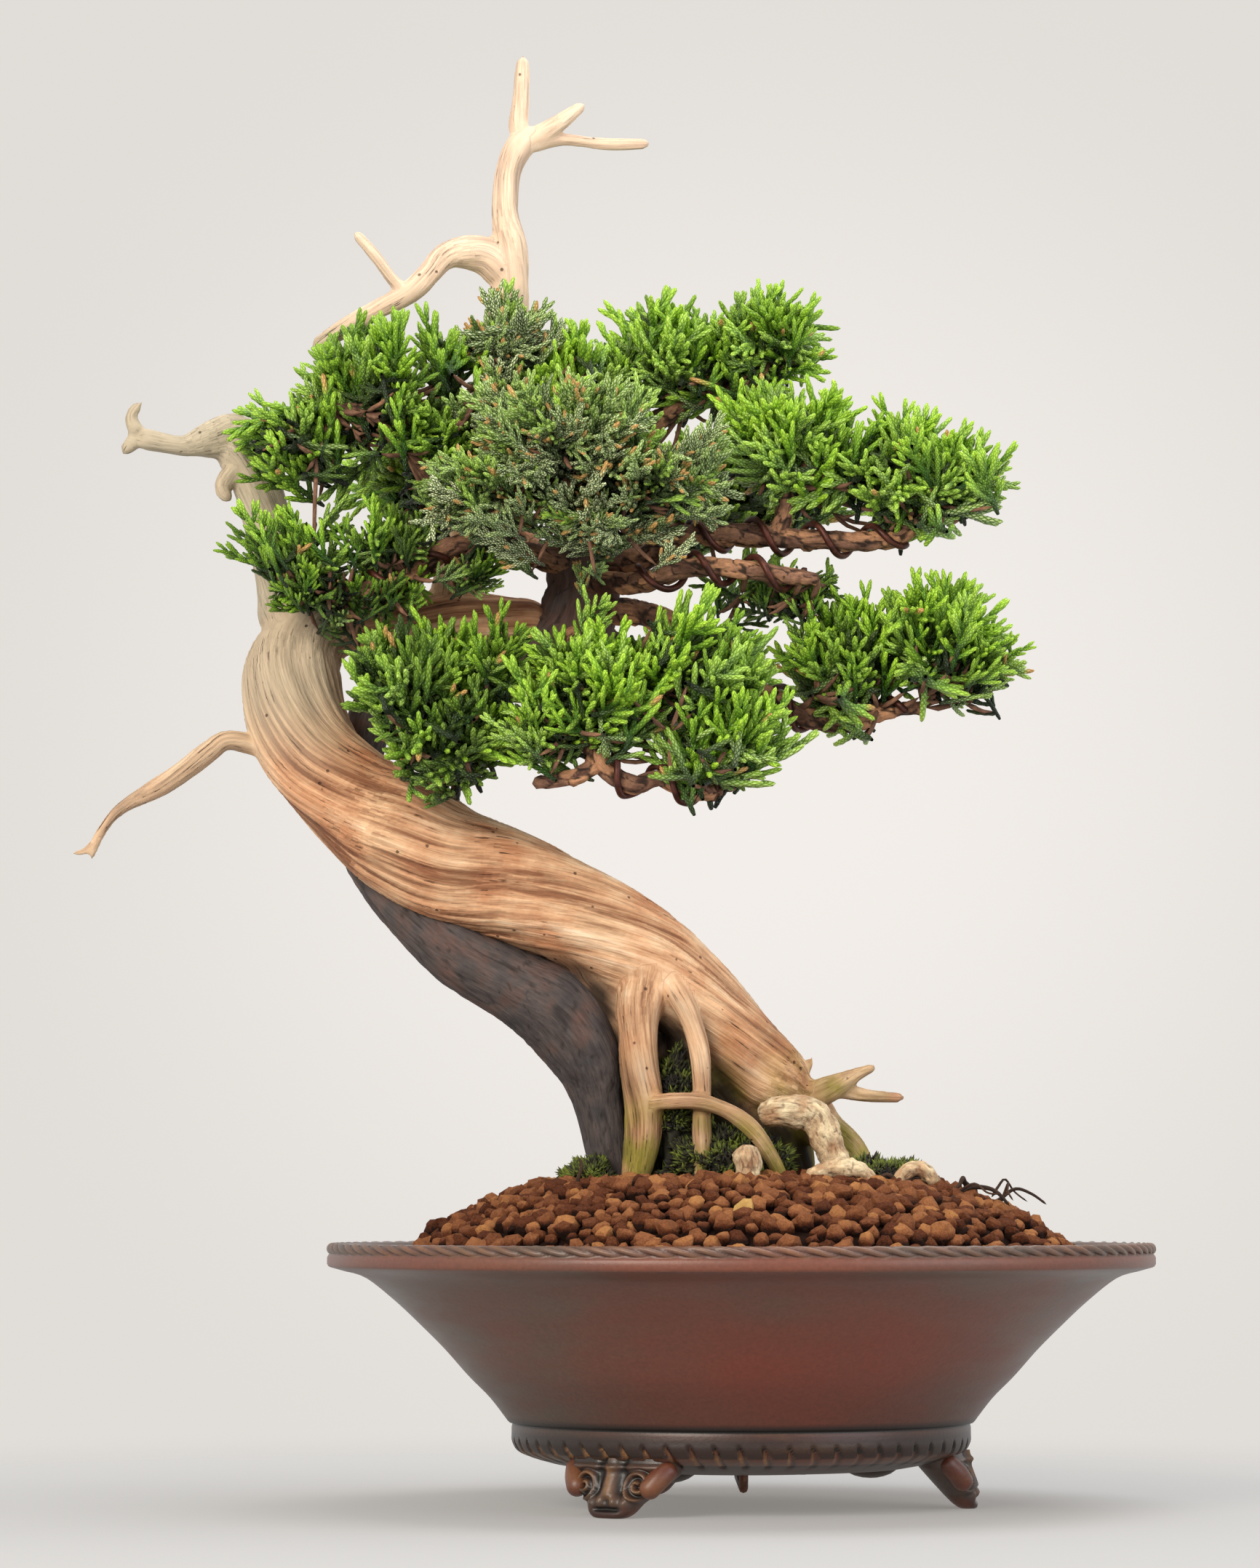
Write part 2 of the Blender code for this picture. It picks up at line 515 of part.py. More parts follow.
def build_stem(name, routes, dress, parts, helpers, axis, steps=1):
    """A living stem of one or more joined tubes, and the sleeves that keep others clear of it."""
    stem = add_object(name, tube_mesh(routes[0], steps=steps), dress, parts, axis)
    sleeves = []
    for number, route in enumerate(routes):
        if number:
            shoot = as_cutter(add_object(f"{name}_shoot_{number}", tube_mesh(route), None, helpers, axis))
            boolean(stem, shoot, "UNION")
        sleeve = add_object(f"sleeve_{name}_{number}", tube_mesh(route, GAP, steps), None, helpers, axis)
        sleeves.append(as_cutter(sleeve))
    return stem, sleeves


def coil_route(route, phase):
    """A wire's helix around a branch, leaving its root and its tip bare."""
    places = [Vector(p[:3]) for p in route]
    lengths = [0.0]
    for before, after in zip(places, places[1:]):
        lengths.append(lengths[-1] + (after - before).length)
    start, end = 0.24 * lengths[-1], 0.95 * lengths[-1]
    samples = int((end - start) / WIRE_PITCH * 8)
    side = Vector((0, 1, 0))
    wound = []
    for sample in range(samples + 1):
        along = start + (end - start) * sample / samples
        index = max(i for i, length in enumerate(lengths[:-1]) if length <= along)
        share = (along - lengths[index]) / (lengths[index + 1] - lengths[index])
        centre = places[index].lerp(places[index + 1], share)
        radius = route[index][3] + (route[index + 1][3] - route[index][3]) * share
        ahead = (places[index + 1] - places[index]).normalized()
        side = (side - ahead * side.dot(ahead)).normalized()
        turn = 2 * math.pi * (along - start) / WIRE_PITCH + math.radians(phase)
        reach = radius + WIRE_CLEAR + WIRE_D / 2
        out = side * math.cos(turn) + ahead.cross(side) * math.sin(turn)
        wound.append((*(centre + out * reach), WIRE_D / 2))
    return wound


def build_moss(into_soil, dress, parts, helpers, axis):
    lifted = [(r + (GAP if r else 0.0), z + GAP) for r, z in SOIL_PROFILE]
    ground_profile = [*lifted, (lifted[-1][0], 40.0), (0.0, 40.0)]
    ground = as_cutter(turned("ground", ground_profile, None, helpers, axis))
    for name, (centre, sizes, seed) in MOSS.items():
        patch = lump(name, centre, sizes, seed, dress, parts, axis)
        boolean(patch, ground)
        cut_by(patch, into_soil)


def build_tree(parts, helpers, axis, finishes):
    trunk, trunk_sleeves = build_trunk(finishes["deadwood"], parts, helpers, axis)
    keep_clear = list(trunk_sleeves)
    stem, sleeves = build_stem("live_vein", [LIVE_VEIN], finishes["live_bark"], parts, helpers, axis)
    cut_by(stem, keep_clear)
    keep_clear += sleeves
    for name, points in LIVE_ROOTS.items():
        stem, sleeves = build_stem(name, [points], finishes["live_bark"], parts, helpers, axis)
        cut_by(stem, keep_clear)
        keep_clear += sleeves
    into_soil = list(keep_clear)
    for name, (points, _) in BRANCHES.items():
        routes = [points, *SIDE_SHOOTS.get(name, [])]
        stem, sleeves = build_stem(name, routes, finishes["branch_bark"], parts, helpers, axis)
        cut_by(stem, keep_clear)
        keep_clear += sleeves
    for name, (points, phase) in BRANCHES.items():
        if phase is None:
            continue
        winding = tube_mesh(coil_route(points, phase), resolution=1)
        add_object(name.replace("branch", "training_wire"), winding, finishes["wire"], parts, axis)
        wide = [(x, y, z, r + 2 * WIRE_CLEAR + WIRE_D) for x, y, z, r in points]
        sleeve = add_object(f"sleeve_wired_{name}", tube_mesh(wide, GAP), None, helpers, axis)
        keep_clear.append(as_cutter(sleeve))
    for name, (centre, sizes, seed) in PADS.items():
        pad = lump(name, centre, sizes, seed, finishes["foliage"], parts, axis)
        cut_by(pad, keep_clear)
        grown = lump(f"around_{name}", centre, sizes, seed, None, helpers, axis, grow=GAP)
        keep_clear.append(as_cutter(grown))
    return into_soil


def build():
    clear_scene()
    parts = new_collection("bonsai_in_pot")
    helpers = new_collection("cutters")
    axis = bpy.data.objects.new("pot_axis", None)
    axis.location = (AXIS_X * MM, 0, 0)
    parts.objects.link(axis)
    finishes = {
        "stoneware": material("unglazed_stoneware", "6B3A2C", 0.6),
        "deadwood": material("bleached_deadwood", "D8B48C", 0.85),
        "live_bark": material("live_bark", "4E4038", 0.9),
        "branch_bark": material("flaky_branch_bark", "8A5A3C", 0.9),
        "foliage": material("juniper_foliage", "2F7A1E", 0.6),
        "soil": material("baked_clay_grains", "7A4427", 0.95),
        "moss": material("moss", "2C4A16", 0.95),
        "wire": material("anodised_wire", "4A2A20", 0.4, 0.9),
        "mesh": material("drainage_mesh", "202020", 0.6),
    }
    build_pot(finishes["stoneware"], parts, helpers, axis)
    soil = build_soil(finishes["soil"], parts, axis)
    mesh_square("drainage_mesh", finishes["mesh"], parts, axis, MESH_SIDE)
    add_object("mesh_clip", tube_mesh(clip_route()), finishes["wire"], parts, axis)
    add_object("tie_down_wire", tube_mesh(tie_route()), finishes["wire"], parts, axis)
    into_soil = build_tree(parts, helpers, axis, finishes)
    build_moss(into_soil, finishes["moss"], parts, helpers, axis)
    boolean(soil, mesh_pocket(helpers, axis))
    tie_sleeve = as_cutter(add_object("sleeve_tie", tube_mesh(tie_route(), GAP), None, helpers, axis))
    boolean(soil, tie_sleeve)
    soil_box = lump("soil_reach", (0, 0, 45), (75, 75, 26), 0, None, helpers, axis, depth=0.0, sides=12)
    for sleeve in into_soil:
        if boxes_touch(as_cutter(soil_box), sleeve):
            boolean(soil, sleeve)


build()
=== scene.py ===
"""A juniper bonsai in a round, unglazed pot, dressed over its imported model.

Tables and fields are in millimetres from the pot's axis at the ground, +Z up, front towards -Y. A
point with a radius is (x, y, z, radius). mesh_of turns them to metres in the model's own frame.
"""

import itertools
import logging
import math
from collections.abc import Callable, Sequence
from dataclasses import dataclass, field
from enum import Enum
from functools import partial
from typing import Any, ClassVar

import bmesh
import bpy
import numpy as np
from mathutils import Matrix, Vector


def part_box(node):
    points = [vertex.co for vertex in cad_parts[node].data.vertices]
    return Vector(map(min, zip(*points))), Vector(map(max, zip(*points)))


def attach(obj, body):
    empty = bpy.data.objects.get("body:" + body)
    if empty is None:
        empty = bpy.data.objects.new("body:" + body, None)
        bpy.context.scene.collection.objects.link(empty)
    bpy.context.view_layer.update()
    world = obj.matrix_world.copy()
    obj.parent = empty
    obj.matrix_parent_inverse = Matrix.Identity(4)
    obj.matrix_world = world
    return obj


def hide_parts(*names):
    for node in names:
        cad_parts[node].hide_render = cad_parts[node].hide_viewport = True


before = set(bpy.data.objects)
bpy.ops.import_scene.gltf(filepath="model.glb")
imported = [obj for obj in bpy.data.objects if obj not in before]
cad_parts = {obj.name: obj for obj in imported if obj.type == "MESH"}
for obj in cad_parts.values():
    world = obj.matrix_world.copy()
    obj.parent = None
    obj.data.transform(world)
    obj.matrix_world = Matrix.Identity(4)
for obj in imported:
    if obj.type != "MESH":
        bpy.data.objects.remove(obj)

Array = np.ndarray
Chance = np.random.Generator
Points = Sequence[tuple[float, ...]]

MM = 0.001
BODY = "root"
LOG = logging.getLogger("bonsai")
CLAY_VALUES = ("ruddy", "worn", "hollow", "rusty")


# ---------------------------------------------------------------- skeleton of the tree

DEAD_LIMBS: dict[str, Points] = {
    "main": [(15, 1, 87, 5.7), (6.5, 1, 92.5, 8.9), (-1.5, 0, 101, 8.9), (-10.5, 0, 110, 9.5),
        (-20.5, 0, 118.5, 10.8), (-35.5, -1, 127.5, 11.4), (-50.5, -2, 134, 12.3), (-64.5, -3, 139, 13.3),
        (-75, -3, 146.5, 13.3), (-85, -2, 154, 11.5), (-93.5, -1, 162.5, 11.1), (-97.5, 1, 172, 10.9),
        (-98, 3, 183, 10.6), (-94, 5, 191, 9), (-85.5, 7, 194.5, 7.2), (-74, 8, 194, 6.4),
        (-61.5, 8, 194.5, 6.4), (-50, 8, 193, 6.7), (-41, 8, 192, 7)],
    "root_core": [(3, 12, 58, 14), (2, 12, 74.5, 14.5), (0, 10, 85.5, 13.6), (-5, 6, 96.5, 11.2),
        (-12.5, 2, 107.5, 9.5)],
    "left_core": [(-19.5, 7, 59, 7.1), (-20, 6.5, 75, 8), (-21.5, 5.3, 88, 8.3), (-24.5, 4.1, 98, 8.6),
        (-30, 3, 108.5, 8.6), (-37, 1, 119, 8.5)],
    "right_root": [(11.5, 3, 90, 5.4), (18, 3, 82, 4.8), (24, 2, 76, 4.1), (29.5, 1, 66, 2.9)],
    "left_leg": [(-20.5, -5, 114.5, 6.3), (-22.5, -8, 105.5, 4.7), (-22, -9, 94.5, 4.2),
        (-21, -9, 85, 4.4), (-22, -9, 75.5, 3.8), (-24, -9, 66, 1.9)],
    "middle_leg": [(-15, -8, 113.5, 2.8), (-11.5, -11, 106.5, 2.4), (-9, -12, 98.5, 2.2),
        (-8.5, -12, 89.5, 2), (-8.5, -11, 80.5, 2), (-8.5, -10, 66, 1.6)],
    "crossing_root": [(-21, -11, 87, 2), (-11, -14, 87.5, 2), (-4.5, -15, 86, 2), (1, -15, 82.5, 2.2),
        (5.5, -14, 77, 2), (10.5, -13, 67, 1.4)],
    "right_jin": [(12.5, 0, 87.5, 3.8), (19.5, -2, 90.5, 3), (25, -2, 93.5, 1.7), (30, -2, 95.5, 0.9)],
    "low_right_jin": [(16, -1, 90, 2), (21, -1, 90.3, 1.9), (27.5, 0, 89, 1.4), (36, 0, 88.5, 1)],
    "spike_a": [(5, 2, 96, 3.2), (9.5, 2, 102.2, 1)],
    "spike_b": [(12, 3, 91, 2.5), (16, 3, 97.7, 0.8)],
    "horn": [(-98, 4, 189.5, 8.3), (-101, 6, 204, 6.1), (-104.5, 7, 216.5, 5.4), (-107.5, 7, 227, 5.7),
        (-112, 6, 234.5, 6), (-117.5, 4, 234, 4.1), (-123, 3, 232.5, 2.4), (-129, 3, 233.5, 2.4),
        (-133, 3, 234.5, 2.8)],
    "horn_up": [(-132.5, 3, 234.5, 2), (-134.5, 3, 239, 1.4), (-132, 3, 242.5, 1)],
    "horn_down": [(-132.5, 3, 234.5, 2), (-135, 3, 232.5, 1.7), (-136.5, 3, 230.5, 1)],
    "horn_stub": [(-108.5, 5, 230, 3), (-114, 3, 223.5, 1.9), (-112, 2, 220, 1.1)],
    "low_left_jin": [(-94, -1, 164, 3.5), (-104, -2, 165, 2.3), (-112, -4, 166.5, 2.2),
        (-116, -5, 164, 2.2), (-121, -6, 160, 2.4), (-126, -6, 156.5, 2.4), (-132.5, -6, 153, 1.6),
        (-136, -6, 150.5, 1.3), (-138.5, -6, 147.5, 1.1), (-140.5, -6, 144, 1.1), (-141.5, -6, 140, 0.6)],
    "low_left_fork": [(-140, -6, 144.5, 1.1), (-143, -6, 142, 0.8), (-146, -6, 141.5, 0.6)],
    "leader": [(-64.5, 8, 194, 5.4), (-62, 10, 203, 5.3), (-59, 12, 218, 5.1), (-56.5, 13, 234.5, 5),
        (-53.5, 12, 252.5, 4.6), (-51, 10, 268.5, 4.3), (-51, 9, 278, 3.8), (-52, 8, 286.5, 3),
        (-51.5, 8, 294, 3), (-49.5, 8, 299.5, 3.2), (-46.5, 8, 303.5, 2.8)],
    "leader_tip": [(-47.5, 8, 301.5, 2.5), (-49, 8, 305.5, 2.1), (-48.5, 8, 312.5, 1.8),
        (-48, 8, 321.5, 1.4)],
    "leader_jin_a": [(-47.5, 8, 301.5, 2.5), (-40.5, 7, 305.5, 1.9), (-34, 6, 310, 1)],
    "leader_jin_b": [(-47, 8, 301, 2.2), (-39.5, 9, 302.5, 1.4), (-30, 9, 301.5, 1.3),
        (-19.5, 9, 301.5, 1.1)],
    "left_arm": [(-51, 10, 270, 4.2), (-55, 9, 275.5, 4.2), (-59.5, 8, 277, 4), (-65, 7, 276, 3.2),
        (-69, 6, 271.5, 2.7), (-73.5, 5, 267, 2.4), (-80, 5, 263.5, 2.2), (-87, 5, 259.5, 2.1),
        (-94.5, 5, 254.5, 1.6)],
    "arm_jin": [(-73, 5, 266.5, 1.9), (-76.5, 4, 269.5, 1.4), (-81, 3, 275.5, 1.3), (-85.5, 2, 280.5, 1.1)],
}

LIVE_STEMS: dict[str, Points] = {
    "live_vein": [(-26.5, 2, 64, 4.8), (-28.5, 1, 76.5, 5.4), (-30.5, 0, 87.5, 6), (-33, -1, 97, 8.2),
        (-40, -2, 107, 9.2), (-50.5, -3, 113.5, 7.6), (-61, -3, 119.5, 7), (-69.5, -2, 126.5, 6),
        (-78, 4, 135, 5), (-84, 13, 146.5, 5), (-85, 16, 158.5, 5), (-83, 15, 169, 5),
        (-79, 12, 178.5, 5.2), (-72, 9, 184, 5.4), (-60.5, 8, 184, 6.4), (-48.5, 8, 184.5, 7.7),
        (-38, 8, 190, 8.4), (-34.5, 7, 199.5, 8), (-34.5, 6, 209, 7), (-34.5, 6, 214, 6.1)],
    "live_root_knotted": [(4, -9, 84, 2.6), (9, -11, 85.5, 3.1), (15, -9, 84.5, 3.3), (18.5, -9, 79, 3.2),
        (20.5, -9, 74, 2.8), (22, -8, 66, 2.2)],
    "live_root_stub": [(0, -19, 78, 2.4), (1, -20, 74, 2.6), (0.5, -19, 66, 2)],
    "surface_root_left": [(13.5, -20, 67, 1.6), (15.5, -20.5, 71.5, 1.6), (21, -21, 73.2, 1.7),
        (26, -20, 71.6, 1.5), (30, -19, 66, 1.2)],
    "surface_root_right": [(32.5, -18, 66, 1.3), (34, -18, 71, 1.4), (37.5, -17, 73, 1.4),
        (41, -16, 70.5, 1.3), (43, -15, 64, 1)],
}

# Each branch's line, and the degrees at which its training wire starts round it, or None.
BRANCHES: dict[str, tuple[Points, float | None]] = {
    "branch_top": ([(-34.5, 5, 207, 3.8), (-39.5, 2, 220, 3), (-46, 0, 232.5, 2.5), (-51, -2, 244, 2.1),
        (-52.5, -3, 252.5, 1.4)], None),
    "branch_left": ([(-34.5, 4, 206, 2.9), (-44.5, 0, 207.5, 2.4), (-56, -6, 209.5, 2.2),
        (-65.5, -8, 207.5, 2.2), (-70.5, -10, 202.5, 2), (-78.5, -12, 199.5, 1.9),
        (-87.5, -12, 198.5, 1.6), (-97, -12, 199.5, 1.1)], 0),
    "branch_right": ([(-34, 4, 207, 3.2), (-22, -2, 206.5, 2.5), (-14, -6, 211, 2.2),
        (-3.5, -8, 211.5, 2.2), (10.5, -8, 210.5, 2), (21.5, -8, 210, 1.9), (32, -8, 210, 1.6),
        (39, -8, 213.5, 1.1)], 200),
    "branch_right_low": ([(-34, 2, 202, 2.5), (-22, -10, 200.5, 2), (-12, -16, 203, 1.9),
        (0, -17, 202.5, 1.7), (10.5, -17, 201, 1.6), (17, -17, 200.5, 1.1)], 0),
    "branch_low_right": ([(-33, 6, 196.5, 2.9), (-21, 2, 195, 2.5), (-10.5, -3, 189, 2.4),
        (0.5, -6, 179.5, 2.2), (11, -6, 173, 2), (17, -6, 170.5, 1.9), (25, -6, 170, 1.7),
        (31, -6, 172.5, 1.4), (40.5, -6, 173.5, 1.1)], 0),
    "branch_low_front": ([(-36.5, 2, 190, 2.5), (-34.5, -14, 184.5, 2.2), (-32.5, -24, 170.5, 1.9),
        (-30.5, -28, 159.5, 1.9), (-23.5, -28, 155, 1.7), (-18, -28, 156, 1.5), (-11.5, -28, 153.5, 1.4),
        (-5.5, -28, 153, 1.1)], 0),
    "branch_low_left": ([(-41.5, 2, 186.5, 2.5), (-46.5, -12, 179.5, 2), (-56.5, -18, 172, 1.9),
        (-67.5, -20, 168, 1.6), (-78.5, -20, 166.5, 1.1)], None),
    "branch_front": ([(-34.5, 2, 211, 2.9), (-31, -12, 216, 2.2), (-33.5, -22, 222.5, 1.9),
        (-38, -26, 229.5, 1.2)], None),
    "branch_back_left": ([(-35.5, 9, 205.5, 2.9), (-45, 26, 212, 2.4), (-58, 38, 222, 2),
        (-71.5, 42, 230, 1.3)], None),
    "branch_back_right": ([(-33, 9, 206.5, 2.9), (-20, 28, 213, 2.4), (-7, 40, 222, 2),
        (6.5, 44, 230, 1.3)], None),
    "branch_back_low": ([(-34, 12, 193, 2.6), (-28.5, 26, 192, 2.1), (-18.5, 38, 186.5, 1.8),
        (-8.5, 42, 184, 1.3)], None),
}

SIDE_SHOOTS: dict[str, list[Points]] = {
    "branch_top": [[(-39.5, 2, 220, 2.3), (-26.5, 5, 231.5, 2.2), (-13.5, 8, 242, 1.9),
        (-0.5, 10, 251, 1.6), (10.5, 10, 257, 1.1)], [(-41, 2, 223, 2.2), (-54, -4, 227, 2.1),
        (-66.5, -8, 233, 1.7), (-79, -10, 237.5, 1.6), (-90, -10, 239, 1.1)]],
    "branch_right": [[(8, -8, 210.5, 1.7), (9.8, -8.5, 217, 1.6), (9.8, -9, 222, 1.5)]],
    "branch_low_front": [[(-30.5, -28, 159.5, 1.7), (-36, -28, 156.5, 1.4), (-45, -28, 155, 1.1)]],
}


# ---------------------------------------------------------------- shapes and noise

def linear(hex_colour: str) -> tuple[float, float, float, float]:
    """Turns an sRGB hex colour to linear light.

    Args:
        hex_colour: Six hex digits.

    Returns:
        Red, green and blue in linear light, and an alpha of one.
    """
    channels = [int(hex_colour[start:start + 2], 16) / 255 for start in (0, 2, 4)]
    red, green, blue = (c / 12.92 if c <= 0.04045 else ((c + 0.055) / 1.055) ** 2.4 for c in channels)
    return red, green, blue, 1.0


def smoothstep(low: float, high: float, value: Array) -> Array:
    """Rises from 0 at low to 1 at high, with no corners.

    Args:
        low: Where the rise starts.
        high: Where it ends.
        value: The numbers to place on it.

    Returns:
        A number from 0 to 1 for each value.
    """
    share = np.clip((value - low) / (high - low), 0.0, 1.0)
    return share * share * (3 - 2 * share)


def unit(ways: Array) -> Array:
    """The same directions at length one."""
    return ways / np.maximum(np.linalg.norm(ways, axis=-1, keepdims=True), 1e-9)


def circle(count: int) -> Array:
    """Angles in equal steps round a circle."""
    return np.linspace(0, 2 * math.pi, count, endpoint=False)


def hump(offset: Array, width: float) -> Array:
    """A smooth hump, one at offset nought and almost nothing two widths away."""
    return np.exp(-(offset / width) ** 2)


class Noise:
    """Smooth noise over points in space, the same on every run."""

    def __init__(self, seed: int) -> None:
        """Shuffles the lattice that the noise is read from."""
        generator = np.random.default_rng(seed)
        self.order = np.tile(generator.permutation(256), 3)
        self.ways = unit(generator.normal(size=(256, 3)))
        self.spots = generator.random((256, 3))

    def hashed(self, cell: Array) -> Array:
        """A number from 0 to 255 for each lattice cell."""
        wrapped = cell & 255
        first = self.order[wrapped[:, 0]] + wrapped[:, 1]
        return self.order[self.order[first] + wrapped[:, 2]]

    def at(self, points: Array) -> Array:
        """Reads gradient noise of one cell a unit.

        Args:
            points: Any number of places, one a row.

        Returns:
            About -1 to 1 for each place.
        """
        cell = np.floor(points).astype(np.int64)
        inside = points - cell
        fade = inside ** 3 * (inside * (inside * 6 - 15) + 10)
        total = np.zeros(len(points))
        for corner in itertools.product((0, 1), repeat=3):
            pull = (self.ways[self.hashed(cell + corner)] * (inside - corner)).sum(axis=1)
            total += pull * np.prod(np.where(corner, fade, 1 - fade), axis=1)
        return total * 1.6

    def layered(self, points: Array, layers: int) -> Array:
        """Adds finer and fainter copies of the noise, each twice as fine and half as strong."""
        return sum(self.at(points * 2 ** n + 17.3 * n) / 2 ** n for n in range(layers))

    def plates(self, points: Array) -> tuple[Array, Array]:
        """Splits space into uneven cells of about one unit, as cracked bark is split.

        Args:
            points: Any number of places, one a row.

        Returns:
            How far each place is inside its cell, 0 at the crack, and a number from 0 to 1 for the cell.
        """
        cell = np.floor(points).astype(np.int64)
        nearest = np.full(len(points), 9.0)
        second = np.full(len(points), 9.0)
        name = np.zeros(len(points), np.int64)
        for corner in itertools.product((-1, 0, 1), repeat=3):
            found = self.hashed(cell + corner)
            gap = np.linalg.norm(cell + corner + self.spots[found] - points, axis=1)
            closer = gap < nearest
            second = np.where(closer, nearest, np.minimum(second, gap))
            name = np.where(closer, found, name)
            nearest = np.where(closer, gap, nearest)
        return second - nearest, name / 255


@dataclass
class Shape:
    """A mesh in the making: points, groups of faces with equal sides, named values, and its shading."""

    points: Array
    faces: list[Array]
    values: dict[str, Array] = field(default_factory=dict)
    rounded: bool = True

    def filled(self, **shares: float) -> "Shape":
        """Sets named values that are the same at every point, and gives the shape back."""
        self.values.update({name: np.full(len(self.points), share) for name, share in shares.items()})
        return self


def merged(shapes: Sequence[Shape]) -> Shape:
    """Joins shapes that hold the same named values.

    Args:
        shapes: One shape or more.

    Returns:
        One shape with all their faces, which are not welded together.
    """
    starts = np.cumsum([0, *(len(shape.points) for shape in shapes)])
    groups: dict[int, list[Array]] = {}
    for start, shape in zip(starts, shapes):
        for faces in shape.faces:
            groups.setdefault(faces.shape[1], []).append(faces + start)
    values = {name: np.concatenate([shape.values[name] for shape in shapes]) for name in shapes[0].values}
    return Shape(np.concatenate([shape.points for shape in shapes]),
                 [np.concatenate(group) for group in groups.values()], values)


def pot_axis() -> float:
    """Where the pot's axis stands along X in the frame, in metres: the middle of its rim."""
    low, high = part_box("pot")
    return (low.x + high.x) / 2


def mesh_of(name: str, shape: Shape) -> bpy.types.Mesh:
    """Makes a Blender mesh of a shape, in metres, with its named values as point attributes.

    Args:
        name: The mesh's name.
        shape: What to make.

    Returns:
        The mesh, shaded smooth unless the shape has facets.
    """
    mesh = bpy.data.meshes.new(name)
    places = shape.points * MM + np.array([pot_axis(), 0.0, 0.0])
    corners = np.concatenate([faces.ravel() for faces in shape.faces])
    sides = np.concatenate([np.full(len(faces), faces.shape[1]) for faces in shape.faces])
    mesh.vertices.add(len(places))
    mesh.vertices.foreach_set("co", places.astype(np.float32).ravel())
    mesh.loops.add(len(corners))
    mesh.loops.foreach_set("vertex_index", corners.astype(np.int32))
    mesh.polygons.add(len(sides))
    mesh.polygons.foreach_set("loop_start", (np.cumsum(sides) - sides).astype(np.int32))
    mesh.polygons.foreach_set("use_smooth", np.full(len(sides), shape.rounded))
    for key, value in shape.values.items():
        vector = value.ndim == 2
        attribute = mesh.attributes.new(key, "FLOAT_VECTOR" if vector else "FLOAT", "POINT")
        attribute.data.foreach_set("vector" if vector else "value", value.astype(np.float32).ravel())
    mesh.update(calc_edges=True)
    return mesh


def add_object(name: str, data: bpy.types.ID) -> bpy.types.Object:
    """Makes an object and puts it in the scene.

    Args:
        name: The object's name.
        data: Its mesh, light or camera.

    Returns:
        The new object.
    """
    made = bpy.data.objects.new(name, data)
    bpy.context.scene.collection.objects.link(made)
    return made


def add_piece(name: str, shape: Shape, material: bpy.types.Material,
              replaces: Sequence[str] = ()) -> bpy.types.Object:
    """Puts a finished piece in the scene, riding on the model's one body.

    Args:
        name: The piece's name.
        shape: Its mesh.
        material: Its finish.
        replaces: The plain solids that it stands for.

    Returns:
        The new object.
    """
    mesh = mesh_of(name, shape)
    mesh.materials.append(material)
    made = add_object(name, mesh)
    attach(made, BODY)
    if replaces:
        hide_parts(*replaces)
    LOG.info("%s: %d points, %d faces", name, len(shape.points), len(mesh.polygons))
    return made


class Route:
    """A smooth line through given points, with a radius and an untwisted frame at even steps."""

    def __init__(self, points: Points, step: float) -> None:
        """Runs a Catmull-Rom curve through the points and walks along it.

        Args:
            points: (x, y, z, radius) for each.
            step: Millimetres between the places that are kept.
        """
        control = np.asarray(points, float)
        padded = np.vstack([control[:1], control, control[-1:]])
        share = np.linspace(0, 1, 16, endpoint=False)[:, None]
        spans = [0.5 * (2 * b + (c - a) * share + (2 * a - 5 * b + 4 * c - d) * share ** 2
                        + (3 * b - a - 3 * c + d) * share ** 3)
                 for a, b, c, d in zip(padded, padded[1:], padded[2:], padded[3:])]
        fine = np.vstack([*spans, control[-1:]])
        lengths = np.concatenate([[0.0], np.cumsum(np.linalg.norm(np.diff(fine[:, :3], axis=0), axis=1))])
        self.along = np.linspace(0, lengths[-1], max(3, round(lengths[-1] / step) + 1))
        even = np.column_stack([np.interp(self.along, lengths, fine[:, axis]) for axis in range(4)])
        self.places, self.radii = even[:, :3], even[:, 3]
        self.ahead = unit(np.gradient(self.places, axis=0))
        sides = []
        side = np.array([0.0, 1.0, 0.0]) if abs(self.ahead[0, 1]) < 0.9 else np.array([1.0, 0.0, 0.0])
        for ahead in self.ahead:
            side = unit(side - ahead * (side @ ahead))
            sides.append(side)
        self.side = np.array(sides)
        self.up = np.cross(self.ahead, self.side)

    @property
    def length(self) -> float:
        """The line's whole length."""
        return float(self.along[-1])

    def end_rounding(self) -> Array:
        """How much of its radius each place keeps, so that both ends close in a dome."""
        shares = np.ones(len(self.along))
        for gap, radius in ((self.along, self.radii[0]), (self.length - self.along, self.radii[-1])):
            short = 1 - np.clip(gap / radius, 0, 1)
            shares = np.minimum(shares, np.sqrt(1 - short ** 2))
        return np.maximum(shares, 0.08)


def tube(rings: Array) -> Shape:
    """Closes rings of points into a tube with a pole at each end.

    Args:
        rings: Places by ring, round the ring, and axis.

    Returns:
        The closed tube, its ring points first and its two poles last.
    """
    count, sides, _ = rings.shape
    row = np.arange(count - 1)[:, None] * sides
    here = np.arange(sides)[None]
    there = (here + 1) % sides
    quads = np.stack([row + here, row + there, row + there + sides, row + here + sides], -1).reshape(-1, 4)
    first, last = count * sides, (count - 1) * sides
    start = np.column_stack([np.full(sides, first), there[0], here[0]])
    end = np.column_stack([np.full(sides, first + 1), here[0] + last, there[0] + last])
    points = np.vstack([rings.reshape(-1, 3), rings[0].mean(axis=0), rings[-1].mean(axis=0)])
    return Shape(points, [quads, np.vstack([start, end])])


Relief = Callable[[Array, Array], tuple[Array, dict[str, Array]]]


